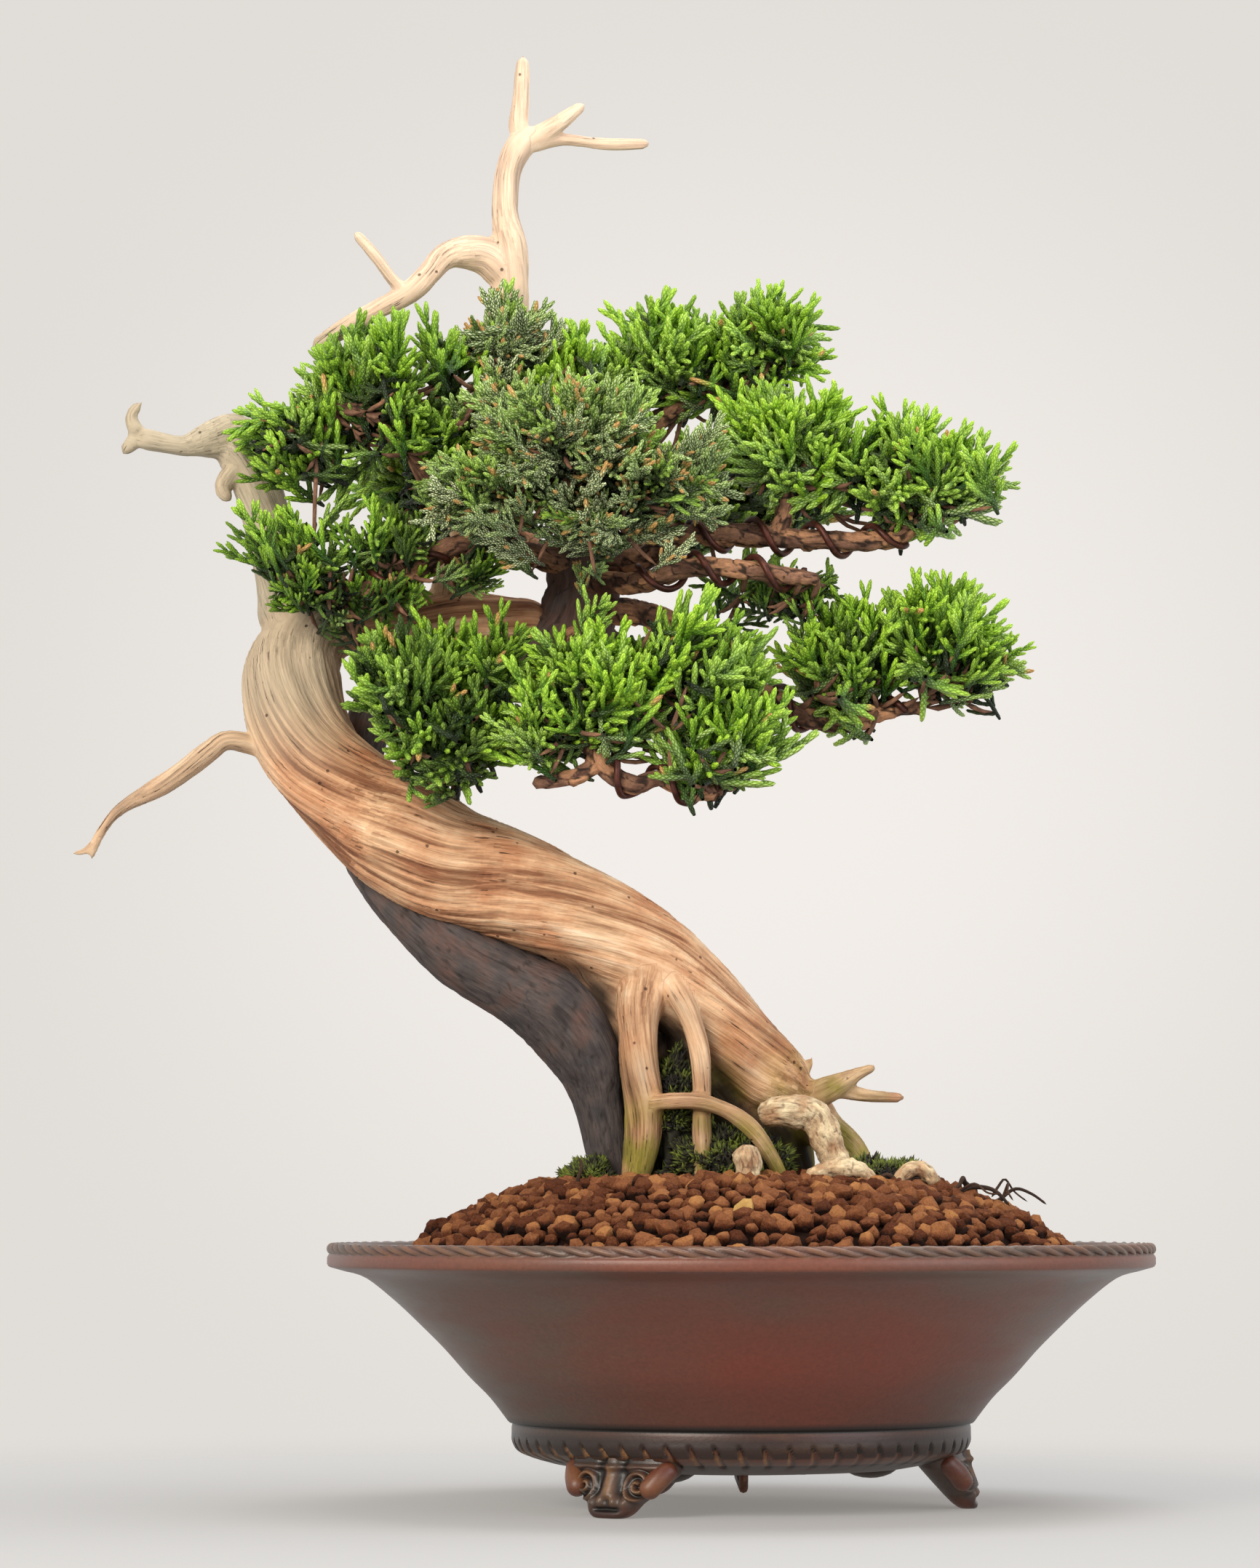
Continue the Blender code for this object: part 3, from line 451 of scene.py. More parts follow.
def swept(route: Route, sides: int, relief: Relief | None = None) -> Shape:
    """Sweeps a round section along a route, with relief on its surface.

    Args:
        route: The line to follow.
        sides: Points round the section.
        relief: Given each point's (radius cos, radius sin, along) and its place, gives millimetres
            outwards and named values for it.

    Returns:
        The closed tube. Its values are "grain", the first thing that relief is given, and relief's own.
    """
    turn = circle(sides)[None, :, None]
    ways = np.cos(turn) * route.side[:, None] + np.sin(turn) * route.up[:, None]
    radii = route.radii[:, None, None]
    rounding = route.end_rounding()[:, None, None]
    rings = route.places[:, None] + ways * (radii * rounding)
    full = np.broadcast_to(radii, (*ways.shape[:2], 1))
    along = np.broadcast_to(route.along[:, None, None], full.shape)
    grain = np.concatenate([np.cos(turn) * full, np.sin(turn) * full, along], axis=-1).reshape(-1, 3)
    if relief is None:
        made = tube(rings)
        made.values["grain"] = np.vstack([grain, grain[:1], grain[-1:]])
        return made
    lift, values = relief(grain, rings.reshape(-1, 3))
    made = tube(rings + ways * (lift.reshape(-1, sides, 1) * rounding))
    values["grain"] = grain
    made.values = {name: np.concatenate([value, value[:1], value[-1:]]) for name, value in values.items()}
    return made


def surface_normals(shape: Shape) -> Array:
    """Works out which way the skin faces.

    Args:
        shape: A closed shape.

    Returns:
        The outward direction at each point, from the faces round it.
    """
    total = np.zeros_like(shape.points)
    for faces in shape.faces:
        corners = shape.points[faces]
        crossed = np.cross(corners[:, 2] - corners[:, 0], corners[:, -1] - corners[:, 1])
        for column, axis in itertools.product(range(faces.shape[1]), range(3)):
            total[:, axis] += np.bincount(faces[:, column], crossed[:, axis], len(total))
    return unit(total)


def fused(shapes: Sequence[Shape], voxel: float, smoothing: int) -> Shape:
    """Grows overlapping shapes into one even skin.

    Args:
        shapes: Closed shapes that overlap.
        voxel: The skin's face size in millimetres.
        smoothing: Rounds of smoothing, which soften where the shapes meet.

    Returns:
        The skin, in quads, with no values.
    """
    holder = add_object("fusing", mesh_of("fusing", merged(shapes)))
    remesh = holder.modifiers.new("skin", "REMESH")
    remesh.mode = "VOXEL"
    remesh.voxel_size = voxel * MM
    smooth = holder.modifiers.new("soften", "SMOOTH")
    smooth.factor = 0.5
    smooth.iterations = smoothing
    graph = bpy.context.evaluated_depsgraph_get()
    mesh = bpy.data.meshes.new_from_object(holder.evaluated_get(graph))
    points = np.empty(len(mesh.vertices) * 3, np.float32)
    mesh.vertices.foreach_get("co", points)
    corners = np.empty(len(mesh.loops), np.int32)
    mesh.loops.foreach_get("vertex_index", corners)
    bpy.data.objects.remove(holder)
    places = (points.reshape(-1, 3) - np.array([pot_axis(), 0.0, 0.0])) / MM
    return Shape(places, [corners.reshape(-1, 4).astype(np.int64)])


def ball(detail: int) -> Shape:
    """Makes a sphere of radius one.

    Args:
        detail: One more than the times that an icosahedron's faces are split.

    Returns:
        The sphere.
    """
    work = bmesh.new()
    bmesh.ops.create_icosphere(work, subdivisions=detail, radius=1.0)
    points = np.array([vert.co[:] for vert in work.verts])
    faces = np.array([[vert.index for vert in face.verts] for face in work.faces])
    work.free()
    return Shape(points, [faces])


def scattered(kinds: Sequence[Shape], which: Array, places: Array, turns: Array, sizes: Array,
              values: dict[str, Array]) -> Shape:
    """Sets out many turned and sized copies of a few shapes, as one mesh.

    Args:
        kinds: The shapes to choose from.
        which: For each copy, the shape's index.
        places: For each copy, where its origin goes.
        turns: For each copy, a 3 by 3 matrix whose columns are its axes.
        sizes: For each copy, its scale.
        values: Named values, one number a copy.

    Returns:
        The merged copies.
    """
    groups = []
    for index, kind in enumerate(kinds):
        chosen = np.flatnonzero(which == index)
        if not len(chosen):
            continue
        turned = np.einsum("nij,kj->nki", turns[chosen], kind.points)
        points = places[chosen][:, None] + turned * sizes[chosen][:, None, None]
        count = len(kind.points)
        starts = np.arange(len(chosen))[:, None, None] * count
        own = {name: np.tile(value, (len(chosen), *[1] * (value.ndim - 1)))
               for name, value in kind.values.items()}
        given = {name: np.repeat(value[chosen], count) for name, value in values.items()}
        faces = [(group[None] + starts).reshape(-1, group.shape[1]) for group in kind.faces]
        groups.append(Shape(points.reshape(-1, 3), faces, {**own, **given}))
    return merged(groups)


def axes_along(ways: Array, flats: Array) -> Array:
    """Turning matrices whose X axis follows a direction and whose Z axis is as near as it can be to another.

    Args:
        ways: The direction for each matrix's X axis.
        flats: The direction that its Z axis leans to.

    Returns:
        One 3 by 3 matrix a row.
    """
    ahead = unit(ways)
    across = unit(np.cross(flats, ahead))
    return np.stack([ahead, across, np.cross(ahead, across)], axis=-1)


# ---------------------------------------------------------------- finishes

Feeds = dict[Any, Any]
NodeMaker = Callable[..., bpy.types.Node]

# Settings that many nodes share: a mix of colours, and a product kept between 0 and 1.
COLOUR = {"data_type": "RGBA"}
TIMES = {"operation": "MULTIPLY", "use_clamp": True}


def add_node(tree: bpy.types.NodeTree, kind: str, feeds: Feeds | None = None,
             stops: Sequence[tuple[float, str]] = (), **settings: Any) -> bpy.types.Node:
    """Adds one shader node with its settings and whatever feeds its inputs.

    Args:
        tree: The node tree.
        kind: The node's type name, without its ShaderNode prefix.
        feeds: Input name or number to a value, a hex colour, or the node or output that feeds it.
        stops: For a colour ramp, its (place, hex colour) stops from low to high.
        **settings: The node's own settings.

    Returns:
        The new node.
    """
    node = tree.nodes.new(f"ShaderNode{kind}")
    for name, value in settings.items():
        setattr(node, name, value)
    for key, value in (feeds or {}).items():
        if isinstance(value, bpy.types.Node):
            value = next(socket for socket in value.outputs if socket.enabled)
        if isinstance(value, bpy.types.NodeSocket):
            tree.links.new(value, node.inputs[key])
        else:
            node.inputs[key].default_value = linear(value) if isinstance(value, str) else value
    if stops:
        ramp = node.color_ramp
        ramp.elements[0].position, ramp.elements[0].color = stops[0][0], linear(stops[0][1])
        ramp.elements[1].position, ramp.elements[1].color = stops[-1][0], linear(stops[-1][1])
        for place, colour in stops[1:-1]:
            ramp.elements.new(place).color = linear(colour)
    return node


def node_maker(owner: bpy.types.Material | bpy.types.World) -> NodeMaker:
    """Empties a node tree.

    Args:
        owner: The material or the world that the tree belongs to.

    Returns:
        What adds a node to the tree.
    """
    owner.use_nodes = True
    owner.node_tree.nodes.clear()
    return partial(add_node, owner.node_tree)


def across(size: float) -> float:
    """The scale that makes a pattern in metres repeat about every so many millimetres."""
    return 1 / (size * MM)


class Finish:
    """What every finish shares: a material of its own name with a Principled shader."""

    name: ClassVar[str]

    def material(self) -> bpy.types.Material:
        """Makes the material.

        Returns:
            The new material.
        """
        made = bpy.data.materials.new(self.name)
        node = node_maker(made)
        node("OutputMaterial", {"Surface": node("BsdfPrincipled", self.skin(node))})
        return made

    def skin(self, node: NodeMaker) -> Feeds:
        """Adds the finish's own nodes and gives what feeds each of the shader's inputs."""
        raise NotImplementedError


@dataclass(frozen=True)
class FiredStoneware(Finish):
    """Unglazed red stoneware, thrown, oiled and handled for years.

    The eye sees a soft satin skin that clouds from brick red to smoky olive, a faint grit, and paler
    edges on the rope, the foot band and the carved feet, partly scuffed by use and partly painted highlight.
    Painted shade darkens the rope's grooves, the notches, the foot band, the feet and the underside.
    """

    name: ClassVar[str] = "stoneware_thrown_unglazed"
    brown: str = "58382C"
    red: str = "6E3424"
    smoke: str = "4E4438"
    painted_shade: str = "130D09"
    wear_and_highlight: str = "A67846"
    rust: str = "7C2E16"
    roughness: float = 0.4
    cloud_mm: float = 34.0
    streak_mm: float = 7.0
    grit_mm: float = 0.9

    def skin(self, node: NodeMaker) -> Feeds:
        """Adds clouding, throwing lines, grit, scuffs with painted highlights, and painted shade."""
        place = node("TexCoord").outputs["Object"]
        ruddy, worn, hollow, rusty = (node("Attribute", attribute_name=name).outputs["Fac"]
                                      for name in CLAY_VALUES)
        clouds = node("TexNoise", {"Vector": place, "Scale": across(self.cloud_mm), "Detail": 5.0,
                                   "Roughness": 0.6})
        # Throwing lines run round the pot, so the pattern is stretched sideways and kept short in height.
        squeezed = node("Mapping", {"Vector": place, "Scale": (0.25, 0.25, 1.6)})
        streaks = node("TexNoise", {"Vector": squeezed, "Scale": across(self.streak_mm), "Detail": 4.0,
                                    "Roughness": 0.55})
        grit = node("TexNoise", {"Vector": place, "Scale": across(self.grit_mm), "Detail": 3.0,
                                 "Roughness": 0.7})
        uneven = node("Math", {0: clouds, 1: 1.3, 2: -0.65}, operation="MULTIPLY_ADD")
        redness = node("Math", {0: ruddy, 1: uneven}, operation="ADD", use_clamp=True)
        streaked = node("MapRange", {0: streaks, 1: 0.28, 2: 0.72})
        smoky = node("Mix", {0: streaked, 6: self.smoke, 7: self.brown}, **COLOUR)
        body = node("Mix", {0: redness, 6: smoky, 7: self.red}, **COLOUR)
        rusted = node("Mix", {0: rusty, 6: body, 7: self.rust}, **COLOUR)
        patchy = node("MapRange", {0: streaks, 1: 0.4, 2: 0.6})
        # Paler marks: partly scuffed clay, partly painted highlight on lit crests, notch faces, ledges and
        # carving.
        rubbed_and_lit = node("Math", {0: worn, 1: patchy}, **TIMES)
        pale = node("Mix", {0: rubbed_and_lit, 6: rusted, 7: self.wear_and_highlight}, **COLOUR)
        # Painted shade in the grooves, notches, foot band, feet and underside.
        dark = node("Mix", {0: hollow, 6: pale, 7: self.painted_shade}, **COLOUR)
        speck = node("MapRange", {0: grit, 1: 0.3, 2: 0.7, 3: 0.84, 4: 1.14})
        final = node("VectorMath", {0: dark, "Scale": speck}, operation="SCALE")
        gloss = node("MapRange", {0: streaks, 3: self.roughness - 0.08, 4: self.roughness + 0.1})
        lines = node("Bump", {"Height": streaks, "Strength": 0.4, "Distance": 0.0002})
        bumps = node("Bump", {"Height": grit, "Strength": 0.6, "Distance": 0.00008, "Normal": lines})
        return {"Base Color": final, "Roughness": gloss, "Normal": bumps}


@dataclass(frozen=True)
class WeatheredDeadwood(Finish):
    """Juniper dead wood, stripped of bark, carved by weather and bleached with lime sulphur.

    The eye sees dry matt wood with long flowing grain, dark checks and beetle holes, chalky where it is
    bleached, honey coloured where it is younger, and stained green where it meets damp soil. Painted light
    brightens the crown's wood, painted shade darkens the hollow under the trunk, and the wood is darker
    towards the foot.
    """

    name: ClassVar[str] = "juniper_deadwood_weathered"
    dark: str = "8A5C3E"
    mid: str = "C69A74"
    pale: str = "DDB58E"
    light: str = "EBD0B0"
    chalk: str = "A69D87"
    honey: str = "C98A57"
    algae: str = "87802C"
    hollow: str = "1C140C"
    check: str = "3A2417"
    fibre_mm: float = 0.5
    band_mm: float = 2.2
    roughness: float = 0.8

    def skin(self, node: NodeMaker) -> Feeds:
        """Adds fibres, bands, checks, holes, stains, painted light and painted shade."""
        place = node("TexCoord").outputs["Object"]
        clear, ridge, bleach, honey, damp, glow, shade = (
            node("Attribute", attribute_name=name).outputs["Fac"]
            for name in ("clear", "ridge", "bleach", "honey", "damp", "glow", "shade"))
        grain = node("Attribute", attribute_name="grain").outputs["Vector"]
        # The grain attribute is in millimetres, so scales here are one over a width in millimetres.
        drawn = node("Mapping", {"Vector": grain, "Scale": (1.0, 1.0, 0.045)})
        fibres = node("TexNoise", {"Vector": drawn, "Scale": 1 / self.fibre_mm, "Detail": 3.0,
                                   "Roughness": 0.6})
        bands = node("TexNoise", {"Vector": drawn, "Scale": 1 / self.band_mm, "Detail": 4.0,
                                  "Roughness": 0.6, "Distortion": 0.5})
        patches = node("TexNoise", {"Vector": place, "Scale": across(15.0), "Detail": 5.0,
                                    "Roughness": 0.62})
        lean = node("Math", {0: ridge, 1: 0.2, 2: bands}, operation="MULTIPLY_ADD")
        wood = node("ValToRGB", {0: lean}, [(0.3, self.dark), (0.43, self.mid), (0.55, self.pale),
                                            (0.76, self.light)])
        warmth = node("MapRange", {0: patches, 1: 0.4, 2: 0.62})
        gold = node("Math", {0: honey, 1: warmth}, **TIMES)
        golden = node("Mix", {0: gold, 6: wood, 7: self.honey}, **COLOUR, blend_type="MULTIPLY")
        # Painted light: the crown's wood is mixed towards a pale cream.
        lit = node("Mix", {0: glow, 6: golden, 7: "FFEFDC"}, **COLOUR)
        limed = node("Mix", {0: bleach, 6: lit, 7: self.chalk}, **COLOUR)
        growth = node("MapRange", {0: patches, 1: 0.3, 2: 0.52, 4: 0.85})
        mossy = node("Math", {0: damp, 1: growth}, **TIMES)
        stained = node("Mix", {0: mossy, 6: limed, 7: self.algae}, **COLOUR)
        # Painted shade in the hollow under the trunk, and darker wood towards the foot.
        dim = node("Mix", {0: shade, 6: stained, 7: self.hollow}, **COLOUR)
        # Fibres lighten and darken the wood, and fade out where limbs join.
        fibre = node("MapRange", {0: fibres, 1: 0.32, 2: 0.62, 3: 0.68, 4: 1.1})
        plain = node("Mix", {0: clear, 2: 1.0, 3: fibre})
        fibred = node("VectorMath", {0: dim, "Scale": plain}, operation="SCALE")
        # Drying checks: short dark slits along the grain.
        slit = node("MapRange", {0: fibres, 1: 0.31, 2: 0.37, 3: 1.0, 4: 0.0})
        near = node("MapRange", {0: patches, 1: 0.5, 2: 0.6})
        checks = node("Math", {0: slit, 1: near}, operation="MULTIPLY")
        # Beetle holes, about 0.8 mm wide and a few millimetres apart.
        spots = node("TexVoronoi", {"Vector": place, "Scale": across(4.5), "Randomness": 1.0})
        hole = node("MapRange", {0: spots, 1: 0.06, 2: 0.1, 3: 0.8, 4: 0.0})
        marks = node("Math", {0: checks, 1: hole}, operation="ADD", use_clamp=True)
        final = node("Mix", {0: marks, 6: fibred, 7: self.check}, **COLOUR)
        deep = node("Bump", {"Height": bands, "Strength": clear, "Distance": 0.0004})
        fine = node("Bump", {"Height": fibres, "Strength": clear, "Distance": 0.0002, "Normal": deep})
        pitted = node("Bump", {"Height": marks, "Strength": 0.7, "Distance": 0.0005, "Normal": fine},
                      invert=True)
        return {"Base Color": final, "Normal": pitted, "Roughness": self.roughness,
                "Specular IOR Level": 0.25}


@dataclass(frozen=True)
class Bark(Finish):
    """Juniper bark, grown: thin smooth skin on the vein and roots, peeling flakes on the branches.

    The eye sees matt plates with darker cracks between them, the plates greyer where they are weathered
    and redder where they have just peeled.
    """

    name: str = "bark_grown"
    crack: str = "1D1613"
    outer: str = "6E625A"
    inner: str = "4C4039"
    fresh: str = "7A5038"
    stretch: float = 0.14
    fibre_mm: float = 0.7
    roughness: float = 0.85

    def skin(self, node: NodeMaker) -> Feeds:
        """Adds plate colours, cracks and fibres."""
        place = node("TexCoord").outputs["Object"]
        ridge, plate = (node("Attribute", attribute_name=name).outputs["Fac"] for name in ("ridge", "plate"))
        grain = node("Attribute", attribute_name="grain").outputs["Vector"]
        drawn = node("Mapping", {"Vector": grain, "Scale": (1.0, 1.0, self.stretch)})
        fibres = node("TexNoise", {"Vector": drawn, "Scale": 1 / self.fibre_mm, "Detail": 4.0,
                                   "Roughness": 0.65})
        patches = node("TexNoise", {"Vector": place, "Scale": across(5.0), "Detail": 4.0, "Roughness": 0.65})
        mixed = node("Math", {0: plate, 1: 0.55, 2: patches}, operation="MULTIPLY_ADD")
        tone = node("ValToRGB", {0: mixed}, [(0.45, self.inner), (0.72, self.outer), (0.98, self.fresh)])
        gap = node("MapRange", {0: ridge, 1: 0.05, 2: 0.45, 3: 0.9, 4: 0.0})
        cracked = node("Mix", {0: gap, 6: tone, 7: self.crack}, **COLOUR)
        fibre = node("MapRange", {0: fibres, 1: 0.3, 2: 0.66, 3: 0.6, 4: 1.25})
        final = node("VectorMath", {0: cracked, "Scale": fibre}, operation="SCALE")
        bump = node("Bump", {"Height": fibres, "Strength": 0.9, "Distance": 0.0004})
        return {"Base Color": final, "Normal": bump, "Roughness": self.roughness, "Specular IOR Level": 0.3}


@dataclass(frozen=True)
class ScaleLeaves(Finish):
    """Juniper foliage: waxy scale leaves pressed to each shoot in four overlapping rows.

    The eye sees beaded cords, deep green inside the pad from painted shade and bright yellow-green at the
    growing tips, with a soft waxy gloss, a paler edge on each scale, and a few straw-coloured dry tips.
    Painted shade also darkens each shoot's root and the seams between scales.
    """

    name: ClassVar[str] = "juniper_scale_leaves_grown"
    inner: str = "101F06"
    body: str = "3B7708"
    grown: str = "465F26"
    tip: str = "AEDA3C"
    bloom: str = "E4EBBA"
    straw: str = "C79A5A"
    scale_mm: float = 1.25
    roughness: float = 0.48

    def skin(self, node: NodeMaker) -> Feeds:
        """Adds the scale pattern, the run from old to new growth, the dry tips and painted shade."""
        place = node("TexCoord").outputs["Object"]
        tip, fresh, depth, straw = (node("Attribute", attribute_name=name).outputs["Fac"]
                                    for name in ("tip", "fresh", "depth", "straw"))
        ring = node("Attribute", attribute_name="ring").outputs["Vector"]
        parts = node("SeparateXYZ", {0: ring}).outputs
        angle = node("Math", {0: parts[1], 1: parts[0]}, operation="ARCTAN2")
        # Four scales go round a shoot, so the angle runs four half-turns; scales repeat every 1.25 mm.
        rows = node("Math", {0: angle, 1: 2.0}, operation="MULTIPLY")
        steps = node("Math", {0: parts[2], 1: math.pi / self.scale_mm}, operation="MULTIPLY")
        waves = [node("Math", {0: node("Math", {
            0: node("Math", {0: steps, 1: rows}, operation=way)}, operation="SINE")},
            operation="ABSOLUTE") for way in ("ADD", "SUBTRACT")]
        scales = node("Math", {0: waves[0], 1: waves[1]}, operation="MINIMUM")
        patches = node("TexNoise", {"Vector": place, "Scale": across(3.0), "Detail": 2.0})
        vary = node("Math", {0: patches, 1: 0.5, 2: -0.25}, operation="MULTIPLY_ADD")
        newness = node("Math", {0: fresh, 1: vary}, operation="ADD", use_clamp=True)
        leaf = node("Mix", {0: newness, 6: self.grown, 7: self.body}, **COLOUR)
        shaded = node("Mix", {0: depth, 6: leaf, 7: self.inner}, **COLOUR)
        rise = node("Math", {0: tip, 1: 2.4}, operation="POWER")
        young = node("MapRange", {0: newness, 1: 0.15, 2: 0.75})
        shine = node("Math", {0: rise, 1: young}, **TIMES)
        outside = node("Math", {0: 1.0, 1: depth}, operation="SUBTRACT")
        lit = node("Math", {0: shine, 1: outside}, **TIMES)
        bright = node("Mix", {0: lit, 6: shaded, 7: self.tip}, **COLOUR)
        old = node("Math", {0: 0.9, 1: fresh}, operation="SUBTRACT", use_clamp=True)
        edge = node("MapRange", {0: scales, 1: 0.36, 2: 0.68})
        rimmed = node("Math", {0: edge, 1: old}, **TIMES)
        crisp = node("Math", {0: rimmed, 1: outside}, operation="MULTIPLY")
        frosted = node("Mix", {0: crisp, 6: bright, 7: self.bloom}, **COLOUR)
        end = node("MapRange", {0: tip, 1: 0.7, 2: 0.92})
        dried = node("Math", {0: straw, 1: end}, **TIMES)
        strawy = node("Mix", {0: dried, 6: frosted, 7: self.straw}, **COLOUR)
        # Painted shade: each shoot is darker at its root, where others crowd it, and between its scales.
        seam = node("MapRange", {0: scales, 1: 0.0, 2: 0.5, 3: 0.55, 4: 1.06})
        crowd = node("MapRange", {0: tip, 1: 0.05, 2: 0.7, 3: 0.2, 4: 1.1})
        tone = node("Math", {0: seam, 1: crowd}, operation="MULTIPLY")
        final = node("VectorMath", {0: strawy, "Scale": tone}, operation="SCALE")
        bump = node("Bump", {"Height": scales, "Strength": 0.8, "Distance": 0.0003})
        return {"Base Color": final, "Normal": bump, "Roughness": self.roughness, "Specular IOR Level": 0.45}


@dataclass(frozen=True)
class BakedClay(Finish):
    """Baked clay soil grains, crumbled and sieved.

    The eye sees matt red-brown crumbs with a dusty, pitted skin, each a little different, some orange,
    with painted shade under each crumb and in the gaps between them.
    """

    name: ClassVar[str] = "clay_grains_baked"
    dark: str = "26130A"
    mid: str = "633620"
    light: str = "9C6440"
    orange: str = "C08650"
    straw: str = "E0B56C"
    pit_mm: float = 0.55

    def skin(self, node: NodeMaker) -> Feeds:
        """Adds a colour for each grain and a pitted skin."""
        place = node("TexCoord").outputs["Object"]
        tone, pale = (node("Attribute", attribute_name=name).outputs["Fac"] for name in ("tone", "pale"))
        pits = node("TexNoise", {"Vector": place, "Scale": across(self.pit_mm), "Detail": 4.0,
                                 "Roughness": 0.75})
        dust = node("Math", {0: pits, 1: 0.9, 2: tone}, operation="MULTIPLY_ADD")
        shade = node("Math", {0: dust, 1: 0.56}, operation="MULTIPLY")
        colour = node("ValToRGB", {0: shade}, [(0.18, self.dark), (0.4, self.mid), (0.66, self.light),
                                               (0.85, self.orange)])
        final = node("Mix", {0: pale, 6: colour, 7: self.straw}, **COLOUR)
        bump = node("Bump", {"Height": pits, "Strength": 1.0, "Distance": 0.0011})
        return {"Base Color": final, "Normal": bump, "Roughness": 0.95, "Specular IOR Level": 0.15}


@dataclass(frozen=True)
class SoftMoss(Finish):
    """Cushion moss, grown: tiny upright leaves, dark and damp below and yellow-green on top."""

    name: ClassVar[str] = "moss_grown"
    low: str = "140F08"
    high: str = "6F7C1E"

    def skin(self, node: NodeMaker) -> Feeds:
        """Adds the run from the damp base to the leaf tips."""
        tip, tone = (node("Attribute", attribute_name=name).outputs["Fac"] for name in ("tip", "tone"))
        bright = node("Math", {0: tip, 1: tone}, **TIMES)
        colour = node("Mix", {0: bright, 6: self.low, 7: self.high}, **COLOUR)
        return {"Base Color": colour, "Roughness": 0.8}


@dataclass(frozen=True)
class DrawnWire(Finish):
    """Aluminium wire, drawn, then anodised or left bright.

    The eye sees a round metal wire with a soft gloss, faint lines along it and dull scuffs.
    """

    name: str = "aluminium_wire_drawn_anodised"
    colour: str = "3A1C14"
    scuff: str = "6B3A2C"
    roughness: float = 0.42
    metallic: float = 0.55

    def skin(self, node: NodeMaker) -> Feeds:
        """Adds scuffs that dull and lighten the wire."""
        place = node("TexCoord").outputs["Object"]
        rubs = node("TexNoise", {"Vector": place, "Scale": across(2.5), "Detail": 4.0, "Roughness": 0.65})
        colour = node("ValToRGB", {0: rubs}, [(0.42, self.colour), (0.75, self.scuff)])
        rough = node("MapRange", {0: rubs, 3: self.roughness - 0.1, 4: self.roughness + 0.2})
        bump = node("Bump", {"Height": rubs, "Strength": 0.3, "Distance": 0.0001})
        return {"Base Color": colour, "Roughness": rough, "Normal": bump, "Metallic": self.metallic}


@dataclass(frozen=True)
class MouldedMesh(Finish):
    """Polyethylene drainage mesh, extruded, in matt black with a waxy look and soil dust."""

    name: ClassVar[str] = "polyethylene_mesh_extruded"

    def skin(self, node: NodeMaker) -> Feeds:
        """Adds a film of dust over black plastic."""
        place = node("TexCoord").outputs["Object"]
        dust = node("TexNoise", {"Vector": place, "Scale": across(1.5), "Detail": 3.0})
        colour = node("ValToRGB", {0: dust}, [(0.45, "17181A"), (0.8, "4A3A30")])
        return {"Base Color": colour, "Roughness": 0.55}


# ---------------------------------------------------------------- pot

